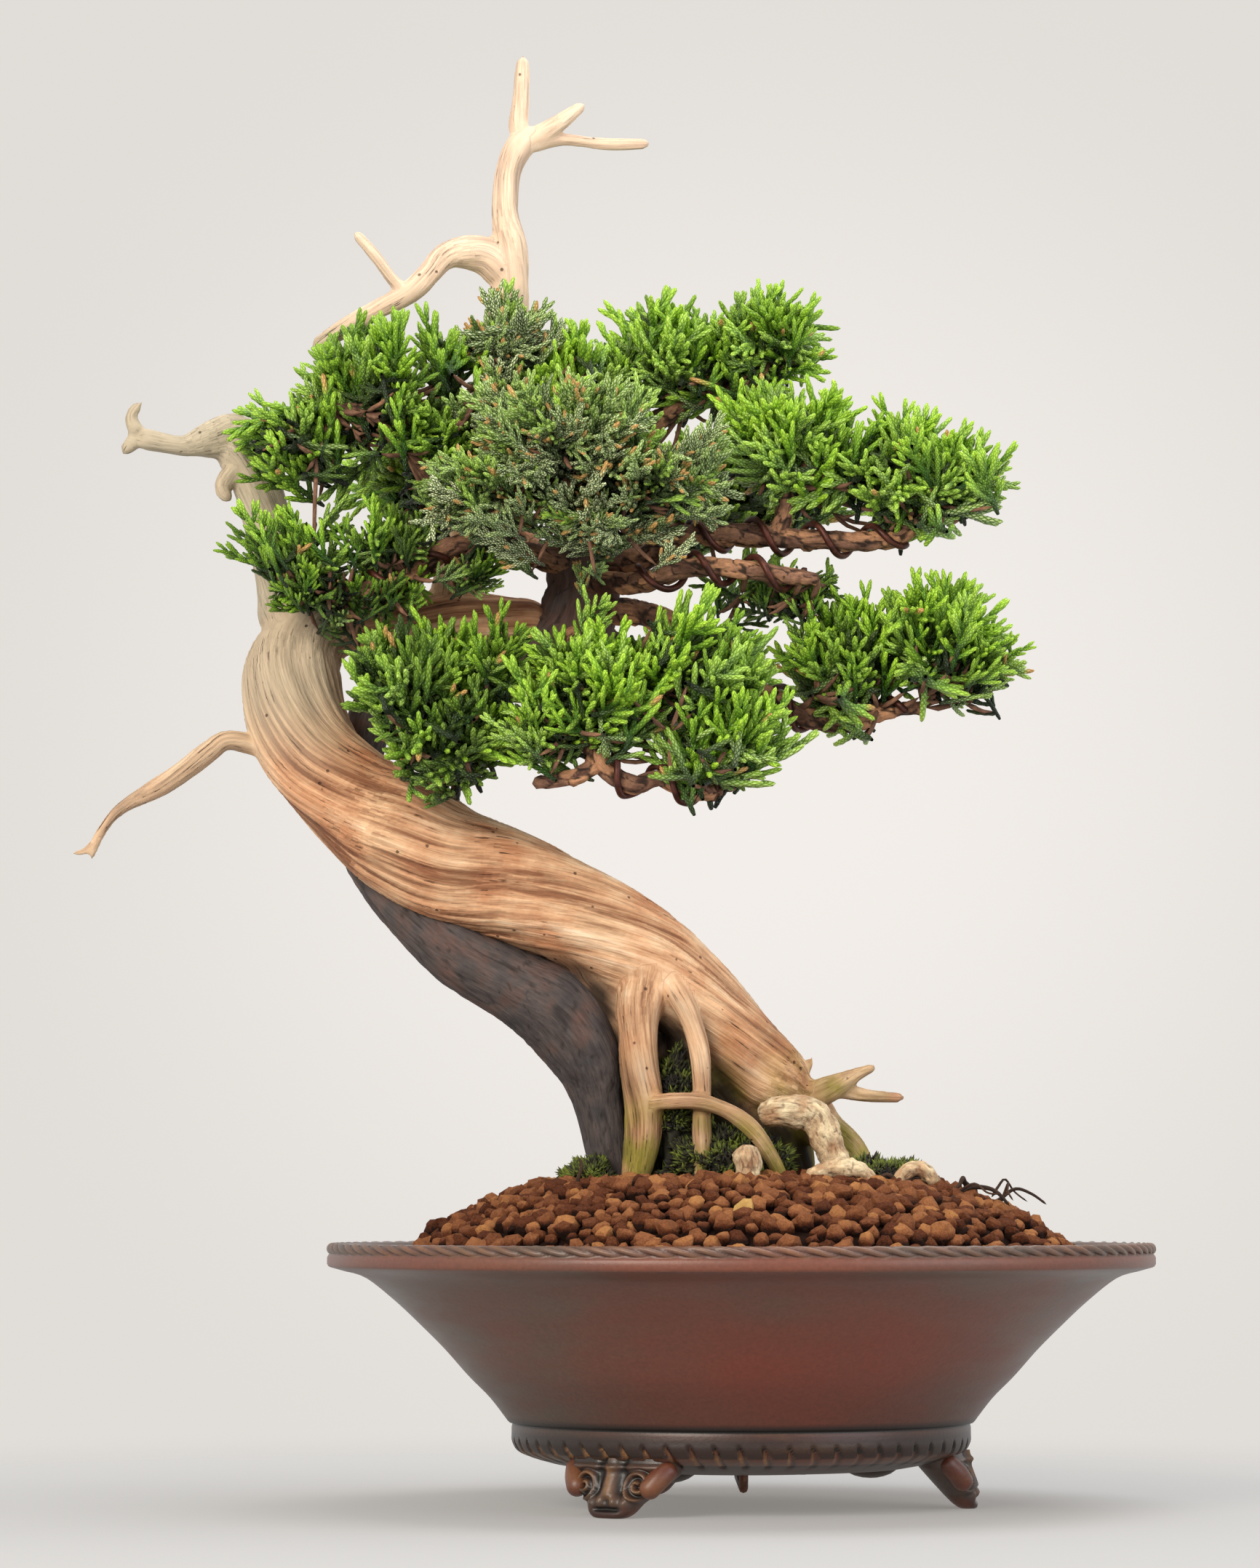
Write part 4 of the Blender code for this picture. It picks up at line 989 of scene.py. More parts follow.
@dataclass
class Pot:
    """A round footed pot of one clay: flared wall, rope lip, notched foot band and three scroll feet."""

    rim_r: float = 90.0
    lip_top: float = 56.9
    lip_bottom: float = 51.8
    lip_width: float = 6.5
    band_r: float = 49.8
    band_top: float = 18.2
    band_bottom: float = 10.9
    wall: float = 5.0
    underside: float = 8.0
    floor: float = 5.5
    drain_r: float = 11.0
    tie_hole_r: float = 2.0
    tie_hole_y: float = 24.0
    wall_shape: Points = ((0.0, 0.0), (0.1, 0.15), (0.22, 0.29), (0.35, 0.46), (0.47, 0.6), (0.63, 0.775),
                          (0.8, 0.93), (0.93, 0.977), (1.0, 1.0))
    strands: int = 102
    strand_sides: int = 8
    strand_depth: float = 0.42
    notches: int = 60
    notch_depth: float = 1.3
    foot_angles: tuple[float, ...] = (235.0, 355.0, 115.0)
    foot_rings: Points = ((13.5, 41.0, 27.0, 11.5), (9.0, 42.5, 26.0, 10.0), (6.0, 44.5, 20.0, 8.5),
                          (3.0, 46.5, 13.0, 6.8), (0.0, 48.7, 9.5, 4.8))
    bracket_reach: float = 28.0
    bracket_r: float = 6.5
    bracket_bottom: float = 6.3

    def build(self, finish: Finish) -> None:
        """Builds the pot and puts it in the scene.

        Args:
            finish: The clay's finish.
        """
        shapes = [self.body()]
        for angle in self.foot_angles:
            shapes += self.foot(angle)
        made = add_piece("stoneware_pot", merged(shapes), finish.material(), ["pot"])
        self.drill_tie_holes(made)

    def wall_line(self, count: int) -> Array:
        """The outer wall from the band up to the lip.

        Args:
            count: How many points.

        Returns:
            (radius, height) rows.
        """
        low_r, low_z = self.band_r + 0.9, self.band_top + 0.5
        shape = Route([(r, z, 0, 0) for r, z in self.wall_shape], 0.02).places[:, :2]
        spread = np.linspace(0, len(shape) - 1, count)
        index = np.arange(len(shape))
        radii = low_r + (self.rim_r - 0.8 - low_r) * np.interp(spread, index, shape[:, 0])
        heights = low_z + (self.lip_bottom - low_z) * np.interp(spread, index, shape[:, 1])
        return np.column_stack([radii, heights])

    def body(self) -> Shape:
        """The turned body, with its rope and notches cut into the turned skin.

        Returns:
            A closed ring of clay with the drain hole through its floor.
        """
        wall = self.wall_line(34)
        lip_inner = self.rim_r - self.lip_width
        rope_r, rope_z, rope_half = self.rim_r - 1.3, self.lip_top - 1.15, 1.15
        bend = np.radians(np.linspace(118, -60, 13))
        rope = np.column_stack([rope_r + rope_half * np.cos(bend), rope_z + rope_half * np.sin(bend)])
        face = [(self.rim_r - 0.35, self.lip_top - 2.5), (self.rim_r - 0.1, self.lip_top - 3.0),
                (self.rim_r - 0.1, self.lip_bottom + 0.7), (self.rim_r - 0.4, self.lip_bottom + 0.2)]
        along = unit(np.gradient(wall, axis=0))
        inner = (wall + self.wall * np.column_stack([-along[:, 1], along[:, 0]]))[3:-4:3]
        band = [(self.band_r + 0.55, self.band_top + 0.15), (self.band_r - 0.35, self.band_top + 0.05),
                (self.band_r - 0.1, self.band_top - 0.4), (self.band_r, self.band_top - 1.0),
                (self.band_r, self.band_top - 2.2)]
        edge = [(self.band_r, self.band_top - 2.4), (self.band_r - 0.1, self.band_top - 4.0),
                (self.band_r - 1.3, self.band_bottom + 1.3), (self.band_r - 4.2, self.band_bottom)]
        low = Route([(r, z, 0, 0) for r, z in edge], 0.55).places[:, :2]
        floor_top = self.underside + self.floor
        under = [(44.0, self.band_bottom - 0.5), (41.0, self.underside + 1.6), (36.0, self.underside + 0.7),
                 (26.0, self.underside + 0.1), (self.drain_r + 0.7, self.underside),
                 (self.drain_r, self.underside + 0.6), (self.drain_r, floor_top - 0.6),
                 (self.drain_r + 0.7, floor_top), (30.0, floor_top),
                 (inner[0][0] - 6.0, floor_top), (inner[0][0] - 1.5, floor_top + 2.0)]
        profile = np.vstack([under, inner, [(lip_inner, self.lip_top - 1.0)],
                             [(lip_inner + 0.5, self.lip_top - 0.25), (lip_inner + 1.5, self.lip_top)],
                             rope, face, wall[::-1], band, low])
        columns = self.strands * self.strand_sides
        turn = circle(columns)
        radii = np.repeat(profile[:, 0][:, None], columns, axis=1)
        heights = np.repeat(profile[:, 1][:, None], columns, axis=1)
        values = {name: np.zeros_like(radii) for name in CLAY_VALUES}
        self.twist_rope(turn, radii, heights, (rope_r, rope_z, rope_half), values)
        self.cut_notches(turn, radii, heights, values)
        self.colour_wall(turn, radii, heights, values)
        points = np.stack([radii * np.cos(turn), radii * np.sin(turn), heights], axis=-1).reshape(-1, 3)
        rows = len(profile)
        row = np.arange(rows)[:, None] * columns
        below = (np.arange(rows)[:, None] + 1) % rows * columns
        here, there = np.arange(columns)[None], (np.arange(columns)[None] + 1) % columns
        quads = np.stack([row + here, row + there, below + there, below + here], -1).reshape(-1, 4)
        return Shape(points, [quads[:, ::-1]], {name: value.ravel() for name, value in values.items()})

    def twist_rope(self, turn: Array, radii: Array, heights: Array, rope: tuple[float, float, float],
                   values: dict[str, Array]) -> None:
        """Presses slanted strands into the lip's outer edge.

        Args:
            turn: Each column's angle.
            radii: Each point's radius, changed in place.
            heights: Each point's height, changed in place.
            rope: The rope's centre radius, centre height and half thickness.
            values: The named values, changed in place.
        """
        rope_r, rope_z, rope_half = rope
        out, up = radii - rope_r, heights - rope_z
        on_rope = (np.hypot(out, up) < rope_half + 0.02) & (radii > self.rim_r - 3)
        slope = np.arctan2(up, out)
        strand = np.abs(np.cos((self.strands * turn[None] + 3.0 * slope) / 2)) ** 0.7
        fade = smoothstep(math.radians(125), math.radians(80), slope)
        lift = np.where(on_rope, (strand - 0.8) * self.strand_depth * 2 * fade, 0.0)
        radii += lift * np.cos(slope)
        heights += lift * np.sin(slope)
        # Strand crests are paler, partly scuffed and partly painted highlight; the grooves between them get
        # painted shade.
        values["worn"] += on_rope * 0.2 * smoothstep(0.6, 0.98, strand) * fade
        values["hollow"] += on_rope * 0.4 * smoothstep(0.6, 0.2, strand) * fade
        face = (heights < self.lip_top - 2.3) & (heights > self.lip_bottom) & (radii > self.rim_r - 0.6)
        values["ruddy"] += face * 0.4
        values["worn"] += face * 0.05

    def cut_notches(self, turn: Array, radii: Array, heights: Array, values: dict[str, Array]) -> None:
        """Cuts slanted notches into the foot band's lower edge.

        Args:
            turn: Each column's angle.
            radii: Each point's radius, changed in place.
            heights: Each point's height.
            values: The named values, changed in place.
        """
        edge = self.band_bottom
        on_edge = (radii > self.band_r - 5) & (heights < edge + 5.2) & (heights > edge - 0.2)
        rise = (heights - edge) / 4.6
        phase = self.notches * turn[None] + 2.2 * rise
        width = 1 - np.clip(rise, 0, 1)
        cut = smoothstep(1 - 1.1 * np.clip(width, 0.02, 1), 1.0, np.cos(phase)) * smoothstep(1.0, 0.75, rise)
        side = np.sin(phase)
        left = smoothstep(150, 240, np.degrees(turn)) * smoothstep(306, 264, np.degrees(turn))
        radii -= on_edge * cut * self.notch_depth * (0.45 + 0.55 * left[None])
        # One face of each notch gets a painted highlight, strongest on the left, and the other face painted
        # shade; the whole notched edge gets some painted shade.
        values["worn"] += on_edge * cut * smoothstep(0.2, -0.6, side) * (0.1 + 1.5 * left[None])
        values["hollow"] += on_edge * (0.55 * cut * smoothstep(-0.2, 0.7, side) + 0.2)

    def colour_wall(self, turn: Array, radii: Array, heights: Array, values: dict[str, Array]) -> None:
        """Sets where the clay is redder, and where the pot gets painted highlight and painted shade.

        Args:
            turn: Each column's angle.
            radii: Each point's radius.
            heights: Each point's height.
            values: The named values, changed in place.
        """
        degrees = np.degrees(turn)
        share = (heights - self.band_top) / (self.lip_bottom - self.band_top)
        front = hump(degrees - 284, 48) + 0.7 * hump(degrees - 100, 40)
        values["ruddy"] += front[None] * hump(share - 0.38, 0.6)
        # Painted shade on the lower wall, darkest just above the foot band, and on the band itself.
        values["hollow"] += (heights > self.band_top) * 0.32 * smoothstep(0.5, 0.0, share)
        on_band = (radii > self.band_r - 1) & (heights < self.band_top + 0.1)
        values["hollow"] += on_band * 0.66
        # Painted highlight on the band's top ledge all round, and on its face towards the front.
        bright = hump(degrees - 284, 15)
        shelf = on_band & (heights > self.band_top - 1.3)
        values["worn"] += shelf * (0.15 + 0.9 * bright[None])
        side = on_band & (heights < self.band_top - 1.2) & (heights > self.band_top - 4.2)
        values["worn"] += side * 0.75 * bright[None]
        # Painted shade in the crease above the band and under the pot.
        crease = (heights > self.band_top) & (heights < self.band_top + 0.55) & (radii < self.band_r + 1.2)
        values["hollow"] += (crease & (radii > self.band_r - 1)) * 0.7
        values["hollow"] += ((heights < self.band_bottom + 0.1) & (radii < 46)) * 0.75

    def foot(self, degrees: float) -> list[Shape]:
        """One carved foot: a lion-like scroll mask with two volutes, and a rod down each side.

        Args:
            degrees: Where it stands round the pot.

        Returns:
            The foot's overlapping shapes.
        """
        turn = math.radians(degrees)
        out = np.array([math.cos(turn), math.sin(turn), 0.0])
        side = np.array([-math.sin(turn), math.cos(turn), 0.0])
        up = np.array([0.0, 0.0, 1.0])
        rings = np.array(self.foot_rings)[::-1]
        heights = np.concatenate([np.linspace(0, 0.6, 4), np.linspace(0.85, 12.5, 50)])
        reach, width, thick = (np.interp(heights, rings[:, 0], rings[:, column]) for column in (1, 2, 3))
        low = np.sqrt(1 - (1 - np.clip(heights / 1.6, 0, 1)) ** 2) * 0.35 + 0.65
        around = circle(128)
        across_foot = np.sign(np.cos(around)) * np.abs(np.cos(around)) ** 0.75
        outwards = np.sign(np.sin(around)) * np.abs(np.sin(around)) ** 0.75
        lateral = across_foot[None] * (width * low / 2)[:, None]
        depth = outwards[None] * (thick * low / 2)[:, None] + (reach + thick / 2 * 0.2)[:, None]
        front = smoothstep(0.1, 0.7, np.broadcast_to(outwards[None], lateral.shape))
        level = np.broadcast_to(heights[:, None], lateral.shape)
        relief = self.mask_relief(lateral, level)
        depth = depth + relief * front
        points = (lateral[..., None] * side + depth[..., None] * out + level[..., None] * up)
        shape = tube(points)
        orange = smoothstep(3.2, 0.4, level)
        # Raised carving is paler, partly scuffed and partly painted highlight; recesses get painted shade,
        # and the whole foot is darker.
        values = {"ruddy": 0.1 + 0 * level, "worn": np.clip(relief - 0.4, 0, 1) * 0.8 * front,
                  "hollow": np.clip(0.45 - relief, 0, 1) * 0.9 * front + 0.42, "rusty": orange * 0.6}
        shape.values = {name: np.concatenate([value.ravel(), value[0, :1], value[-1, :1]])
                        for name, value in values.items()}
        parts = [shape]
        for hand in (-1, 1):
            top = side * hand * 12.6 + out * (reach[-1] + 2.5) + up * 11.2
            tail = side * hand * 8.2 + out * (reach[12] + 2.4) + up * 4.6
            rod = Route([(*top, 2.0), (*((top + tail) / 2 + out * 0.6), 2.3), (*tail, 2.1)], 0.5)
            parts.append(self.clay(swept(rod, 24), ruddy=0.3, rusty=0.35, worn=0.25, hollow=0.3))
        lump = ball(3)
        middle = self.underside + self.floor / 3
        place = out * self.bracket_reach + up * middle
        size = np.array([self.bracket_r, self.bracket_r, middle - self.bracket_bottom])
        # The bracket under the pot is painted dark, as painted shade.
        parts.append(self.clay(Shape(lump.points * size + place, lump.faces), hollow=0.7))
        return parts

    def mask_relief(self, lateral: Array, level: Array) -> Array:
        """The carving on a foot's face.

        Args:
            lateral: Each point's distance sideways from the middle.
            level: Each point's height.

        Returns:
            Millimetres outwards.
        """
        hand = np.abs(lateral)
        gap = np.hypot(hand - 6.7, level - 7.0)
        bearing = np.arctan2(level - 7.0, hand - 6.7)
        spiral = np.cos(2 * math.pi * gap / 1.9 - bearing)
        volute = np.where(gap < 3.7, (0.35 + 0.75 * spiral) * smoothstep(3.9, 3.1, gap), 0.0)
        nose = 1.5 * hump(hand, 1.1 + 0.12 * (9 - level)) * smoothstep(3.4, 5.2, level)
        cheek = -0.7 * hump(hand - 2.9, 0.8) * smoothstep(4.0, 6.0, level)
        knobs = 1.2 * np.exp(-(((hand - 1.7) / 0.95) ** 2 + ((level - 3.5) / 1.1) ** 2))
        outer_knobs = 0.8 * np.exp(-(((hand - 4.2) / 1.1) ** 2 + ((level - 3.2) / 1.2) ** 2))
        brow = 0.6 * hump(level - 10.6, 0.6)
        mouth = -0.7 * hump(level - 1.9, 0.45) * smoothstep(4.0, 2.0, hand)
        return volute + nose + cheek + knobs + outer_knobs + brow + mouth

    def clay(self, shape: Shape, **shares: float) -> Shape:
        """Gives a plain lump the same named values all over.

        Args:
            shape: The lump.
            **shares: The values that aren't nought.

        Returns:
            The same shape with only the pot's named values.
        """
        return Shape(shape.points, shape.faces).filled(**{**dict.fromkeys(CLAY_VALUES, 0.0), **shares})

    def drill_tie_holes(self, made: bpy.types.Object) -> None:
        """Drills the two holes for the tie-down wire through the floor.

        Args:
            made: The pot.
        """
        for y in (-self.tie_hole_y, self.tie_hole_y):
            line = Route([(0, y, z, self.tie_hole_r) for z in (2, 9, 20)], 6.0)
            turn = circle(24)[:, None]
            rings = line.places[:, None] + self.tie_hole_r * (np.cos(turn) * line.side[:, None]
                                                              + np.sin(turn) * line.up[:, None])
            drill = add_object("drill", mesh_of("drill", tube(rings)))
            cut = made.modifiers.new("tie_hole", "BOOLEAN")
            cut.operation = "DIFFERENCE"
            cut.solver = "FAST"
            cut.object = drill
            graph = bpy.context.evaluated_depsgraph_get()
            bored = bpy.data.meshes.new_from_object(made.evaluated_get(graph))
            made.modifiers.clear()
            made.data = bored
            bpy.data.objects.remove(drill)


# ---------------------------------------------------------------- soil and moss

@dataclass
class Soil:
    """A mound of loose baked clay grains, sieved to 3 to 5 mm."""

    profile: Points = ((0.0, 70.6), (20.0, 70.2), (43.0, 69.3), (49.0, 67.3), (57.0, 64.0), (65.0, 60.3),
                       (70.0, 56.0), (76.0, 52.0))
    edge_r: float = 74.5
    grain_mm: tuple[float, float] = (3.0, 5.0)
    grains: int = 2300
    pale_place: tuple[float, float] = (-0.5, -57.0)
    seed: int = 5

    def height(self, radius: Array) -> Array:
        """The mound's height at each radius from the axis."""
        radii, heights = np.array(self.profile).T
        return np.interp(radius, radii, heights)

    def build(self, finish: Finish) -> None:
        """Builds the bed and its grains.

        Args:
            finish: The grains' finish.
        """
        generator = np.random.default_rng(self.seed)
        spots = self.spots(generator)
        count = len(spots)
        sizes = generator.uniform(*self.grain_mm, count) / 2
        sizes *= generator.choice([1.0, 0.7], count, p=[0.8, 0.2])
        radius = np.hypot(spots[:, 0], spots[:, 1])
        heights = self.height(radius) - 0.35 * sizes + generator.uniform(-0.7, 0.9, count)
        turns = axes_along(generator.normal(size=(count, 3)), generator.normal(size=(count, 3)))
        tone = generator.beta(1.4, 1.9, count)
        nearest = np.hypot(spots[:, 0] - self.pale_place[0], spots[:, 1] - self.pale_place[1]).argmin()
        pale = np.where(np.arange(count) == nearest, 0.9, 0.0)
        grains = scattered(self.kinds(generator), generator.integers(0, 9, count),
                           np.column_stack([spots, heights]), turns, sizes,
                           {"tone": tone, "pale": pale, "middle": heights})
        # Each grain is painted darker underneath, as painted shade.
        below = smoothstep(1.1, -1.2, grains.points[:, 2] - grains.values.pop("middle"))
        grains.values["tone"] = grains.values["tone"] + 0.12 - 0.9 * below
        whole = merged([grains, self.bed()])
        whole.rounded = False
        add_piece("soil_grains", whole, finish.material(), ["soil"])

    def kinds(self, generator: Chance) -> list[Shape]:
        """Breaks a few crumbs.

        Args:
            generator: The source of chance.

        Returns:
            Nine crumbs, each a ball with flat breaks.
        """
        smooth = ball(2)
        made = []
        for number in range(9):
            breaks = unit(generator.normal(size=(11, 3)))
            facing = np.maximum(smooth.points @ breaks.T, 1e-3)
            reach = (generator.uniform(0.72, 1.05, 11) / facing).min(axis=1)
            rough = 1 + 0.2 * Noise(100 + number).at(smooth.points * 3.4)
            squash = generator.uniform(0.8, 1.2, 3)
            points = smooth.points * (np.minimum(reach, 1.25) * rough)[:, None] * squash
            made.append(Shape(points, smooth.faces))
        return made

    def spots(self, generator: Chance) -> Array:
        """Places for the grains, spread so that few overlap.

        Args:
            generator: The source of chance.

        Returns:
            (x, y) rows.
        """
        tried = 14000
        radius = self.edge_r * np.sqrt(generator.random(tried))
        turn = generator.uniform(0, 2 * math.pi, tried)
        places = np.column_stack([radius * np.cos(turn), radius * np.sin(turn)])
        kept = np.empty((self.grains, 2))
        count = 0
        for place in places:
            if count == self.grains:
                break
            if count and (np.square(kept[:count] - place).sum(axis=1) < 2.3 ** 2).any():
                continue
            kept[count] = place
            count += 1
        return kept[:count]

    def bed(self) -> Shape:
        """The packed soil below the loose grains, down to the pot's floor."""
        steps = np.linspace(0.02, 1.0, 30) * self.edge_r
        turn = circle(90)
        top = [(r, z - 1.6) for r, z in zip(steps, self.height(steps))]
        rings = np.array([[(r * math.cos(a), r * math.sin(a), z) for a in turn]
                          for r, z in [*top, (66.5, 46.0), (52.5, 34.0), (47.0, 24.0), (45.5, 15.5)]])
        shape = tube(rings)
        shape.faces = [faces[:, ::-1] for faces in shape.faces]
        # The bed takes the darkest tone, as painted shade in the gaps between grains.
        return shape.filled(tone=-0.3, pale=0.0)


@dataclass
class Moss:
    """Cushions of moss on the soil and in the hollow between the trunk's legs."""

    # The hollow's cushion belongs to the middle one, so it replaces no solid of its own.
    patches: dict[str, tuple[tuple[float, float, float], tuple[float, float, float]]] = field(
        default_factory=lambda: {
            "moss_left": ((-33, -4, 70.8), (5.5, 6.5, 4.2)),
            "moss_middle": ((-3, -8.5, 73.5), (15, 6.5, 9.5)),
            "moss_hollow": ((-14.5, -5.5, 84), (5.5, 4.2, 15)),
            "moss_right": ((29, -9, 70.5), (12, 7, 4.5)),
        })
    leaves: int = 2600
    leaf_mm: float = 2.0

    def build(self, finish: Finish) -> None:
        """Builds each cushion.

        Args:
            finish: The moss's finish.
        """
        material = finish.material()
        for number, (name, (centre, sizes)) in enumerate(self.patches.items()):
            shape = self.cushion(np.array(centre), np.array(sizes), 40 + number)
            add_piece(f"{name}_cushion", shape, material, [name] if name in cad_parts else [])

    def cushion(self, centre: Array, sizes: Array, seed: int) -> Shape:
        """One cushion: a dark core bristling with leaves.

        Args:
            centre: Its middle.
            sizes: Its half sizes.
            seed: Picks its outline.

        Returns:
            The cushion.
        """
        generator = np.random.default_rng(seed)
        noise = Noise(seed)
        core = ball(4)
        lobes = 0.76 + 0.44 * noise.at(core.points * 2.2)
        kern = Shape(centre + core.points * sizes * lobes[:, None], core.faces).filled(tip=0.1, tone=0.4)
        ways = unit(generator.normal(size=(self.leaves, 3)))
        ways[:, 2] = np.abs(ways[:, 2]) - 0.25
        ways = unit(ways)
        reach = 0.75 + 0.44 * noise.at(ways * 2.2)
        places = centre + ways * sizes * reach[:, None]
        lean = unit(ways + 0.6 * generator.normal(size=ways.shape) + [0, 0, 0.5])
        turns = axes_along(lean, generator.normal(size=ways.shape))
        blade = self.leaf()
        size = self.leaf_mm * generator.uniform(0.6, 1.3, self.leaves)
        tone = np.clip(0.4 + 1.1 * noise.at(places / 3.0) + generator.normal(0, 0.3, self.leaves), 0, 1)
        leaves = scattered([blade], np.zeros(self.leaves, int), places, turns, size, {"tone": tone})
        return merged([leaves, kern])

    def leaf(self) -> Shape:
        """A slim three-sided leaf of length one along X."""
        turn = np.radians([90, 210, 330])
        ring = np.column_stack([np.zeros(3), 0.1 * np.cos(turn), 0.1 * np.sin(turn)])
        belly = np.column_stack([np.full(3, 0.45), 0.16 * np.cos(turn), 0.16 * np.sin(turn)])
        points = np.vstack([ring, belly, [[1.0, 0.0, 0.05]]])
        sides = [[a, (a + 1) % 3, (a + 1) % 3 + 3, a + 3] for a in range(3)]
        top = [[6, a + 3, (a + 1) % 3 + 3] for a in range(3)]
        return Shape(points, [np.array(sides), np.array(top)],
                     {"tip": np.array([0.0, 0, 0, 0.5, 0.5, 0.5, 1.0])})


# ---------------------------------------------------------------- wood

@dataclass
class DeadTrunk:
    """The bare trunk with its legs, dead limbs and stubs, grown and weathered as one piece of wood."""

    voxel: float = 0.58
    smoothing: int = 3
    twist_mm: float = 250.0
    ridge_mm: float = 1.2
    furrow_mm: float = 0.34
    fine_mm: float = 0.16
    reach_mm: float = 7.0
    # For each limb: how bleached it is and how honey coloured, from 0 to 1.
    tones: dict[str, tuple[float, float]] = field(default_factory=lambda: {
        "main": (0.05, 0.6), "horn": (0.9, 0.05), "horn_up": (0.85, 0.2), "horn_down": (0.85, 0.1),
        "horn_stub": (0.8, 0.2), "leader": (0.12, 0.35), "leader_tip": (0.2, 0.6),
        "leader_jin_a": (0.1, 0.7), "leader_jin_b": (0.2, 0.5), "left_arm": (0.15, 0.45),
        "arm_jin": (0.3, 0.4), "low_left_jin": (0.45, 0.35), "low_left_fork": (0.4, 0.3),
        "crossing_root": (0.2, 0.5), "middle_leg": (0.15, 0.4), "left_leg": (0.1, 0.45),
    })
    # Limbs whose front gets painted shade, in the hollow under the trunk.
    dark_limbs: tuple[str, ...] = ("left_core", "root_core")

    def build(self, finish: Finish) -> None:
        """Fuses the limbs, carves the grain and puts the trunk in the scene.

        Args:
            finish: The dead wood's finish.
        """
        routes = {name: Route(points, 1.5) for name, points in DEAD_LIMBS.items()}
        skin = fused([swept(route, 28) for route in routes.values()], self.voxel, self.smoothing)
        lift, values = self.carve(skin.points, routes)
        skin.points = skin.points + surface_normals(skin) * lift[:, None]
        skin.values = values
        add_piece("weathered_trunk", skin, finish.material(), ["trunk_deadwood"])

    def carve(self, points: Array, routes: dict[str, Route]) -> tuple[Array, dict[str, Array]]:
        """Works out relief that flows along each limb and blends where limbs join.

        Args:
            points: The skin's points.
            routes: Each limb's line.

        Returns:
            Millimetres outwards, and the named values.
        """
        count = len(points)
        noise = Noise(11)
        depths = np.full((len(routes), count), 99.0)
        lifts, bleach, honey, shade = (np.zeros((len(routes), count)) for _ in range(4))
        grains = np.zeros((len(routes), count, 3))
        for number, (name, route) in enumerate(routes.items()):
            reach = route.radii.max() + self.reach_mm
            low, high = route.places.min(axis=0) - reach, route.places.max(axis=0) + reach
            near = np.flatnonzero(((points > low) & (points < high)).all(axis=1))
            if not len(near):
                continue
            depth, grain, radius = self.local(points[near], route)
            depths[number, near] = depth
            lifts[number, near] = self.relief(noise, grain, radius, 31.7 * number)
            grains[number, near] = grain + [0, 0, 40.0 * number]
            chalk, gold = self.tones.get(name, (0.25, 0.6))
            bleach[number, near], honey[number, near] = chalk, gold
            shade[number, near] = name in self.dark_limbs
        best = depths.min(axis=0)
        weights = np.exp(-(depths - best) / 0.9)
        shares = weights / weights.sum(axis=0)
        owner = depths.argmin(axis=0)
        lift = (shares * lifts).sum(axis=0)
        chalk = (shares * bleach).sum(axis=0)
        x, y, z = points.T
        column = smoothstep(-80, -94, x) * smoothstep(150, 180, z)
        chalk = np.maximum(chalk, 0.75 * column)
        # Painted light: the wood near the crown is lightened, and it is also less honey coloured.
        crown = smoothstep(206, 262, z) * smoothstep(-96, -84, x)
        gold = (shares * honey).sum(axis=0) * (1 - 0.8 * column) * (1 - 0.25 * crown)
        wet = smoothstep(108, 78, z) * smoothstep(-16, -4, y) + smoothstep(92, 74, z)
        damp = wet * (0.8 + 1.1 * noise.at(points / 6.0)) * smoothstep(34, 27, x)
        # Painted shade on the core limbs' front, below the trunk.
        front = smoothstep(11, 5, y) * smoothstep(126, 113, z)
        dark = (shares * shade).sum(axis=0) * front * (0.75 + 0.35 * noise.at(points / 5.0))
        # The wood darkens unevenly towards the foot.
        foot = smoothstep(124, 92, z) * np.clip(0.17 + 0.32 * noise.at(points / 9.0 + 4), 0.05, 0.4)
        clear = smoothstep(0.55, 0.92, shares.max(axis=0))
        return lift, {"grain": grains[owner, np.arange(count)], "clear": clear,
                      "ridge": np.clip(lift / 1.2, -1, 1), "bleach": np.clip(chalk, 0, 1),
                      "honey": np.clip(gold, 0, 1), "damp": np.clip(damp, 0, 1),
                      "glow": 0.34 * crown, "shade": np.clip(dark * 1.25 + foot, 0, 0.94)}

    def local(self, points: Array, route: Route) -> tuple[Array, Array, Array]:
        """Finds each point's place along and round a limb.

        Args:
            points: The points.
            route: The limb's line.

        Returns:
            Each point's distance outside the limb's round section, its (radius cos, radius sin, along)
            with the grain's twist, and the limb's radius there.
        """
        squared = (np.square(points).sum(axis=1)[:, None] - 2 * points @ route.places.T
                   + np.square(route.places).sum(axis=1)[None])
        index = squared.argmin(axis=1)
        offset = points - route.places[index]
        forward = (offset * route.ahead[index]).sum(axis=1)
        along = route.along[index] + np.clip(forward, -3, 3)
        turn = np.arctan2((offset * route.up[index]).sum(axis=1), (offset * route.side[index]).sum(axis=1))
        turn += along / self.twist_mm * 2 * math.pi
        radius = route.radii[index]
        depth = np.sqrt(np.maximum(squared[np.arange(len(points)), index], 0)) - radius
        return depth, np.column_stack([radius * np.cos(turn), radius * np.sin(turn), along]), radius

    def relief(self, noise: Noise, grain: Array, radius: Array, shift: float) -> Array:
        """Rounded muscles with sharp furrows between them, at three sizes.

        Args:
            noise: The noise to read.
            grain: (radius cos, radius sin, along) for each point.
            radius: The limb's radius at each point.
            shift: Keeps one limb's grain different from the next.

        Returns:
            Millimetres outwards.
        """
        scale = np.clip(radius / 9.0, 0.12, 1.1) ** 0.75
        wide = noise.at(grain * [0.13, 0.13, 1 / 55] + shift)
        middle = noise.at(grain * [0.34, 0.34, 1 / 34] + shift + 9)
        fine = noise.at(grain * [1.1, 1.1, 1 / 15] + shift + 21)
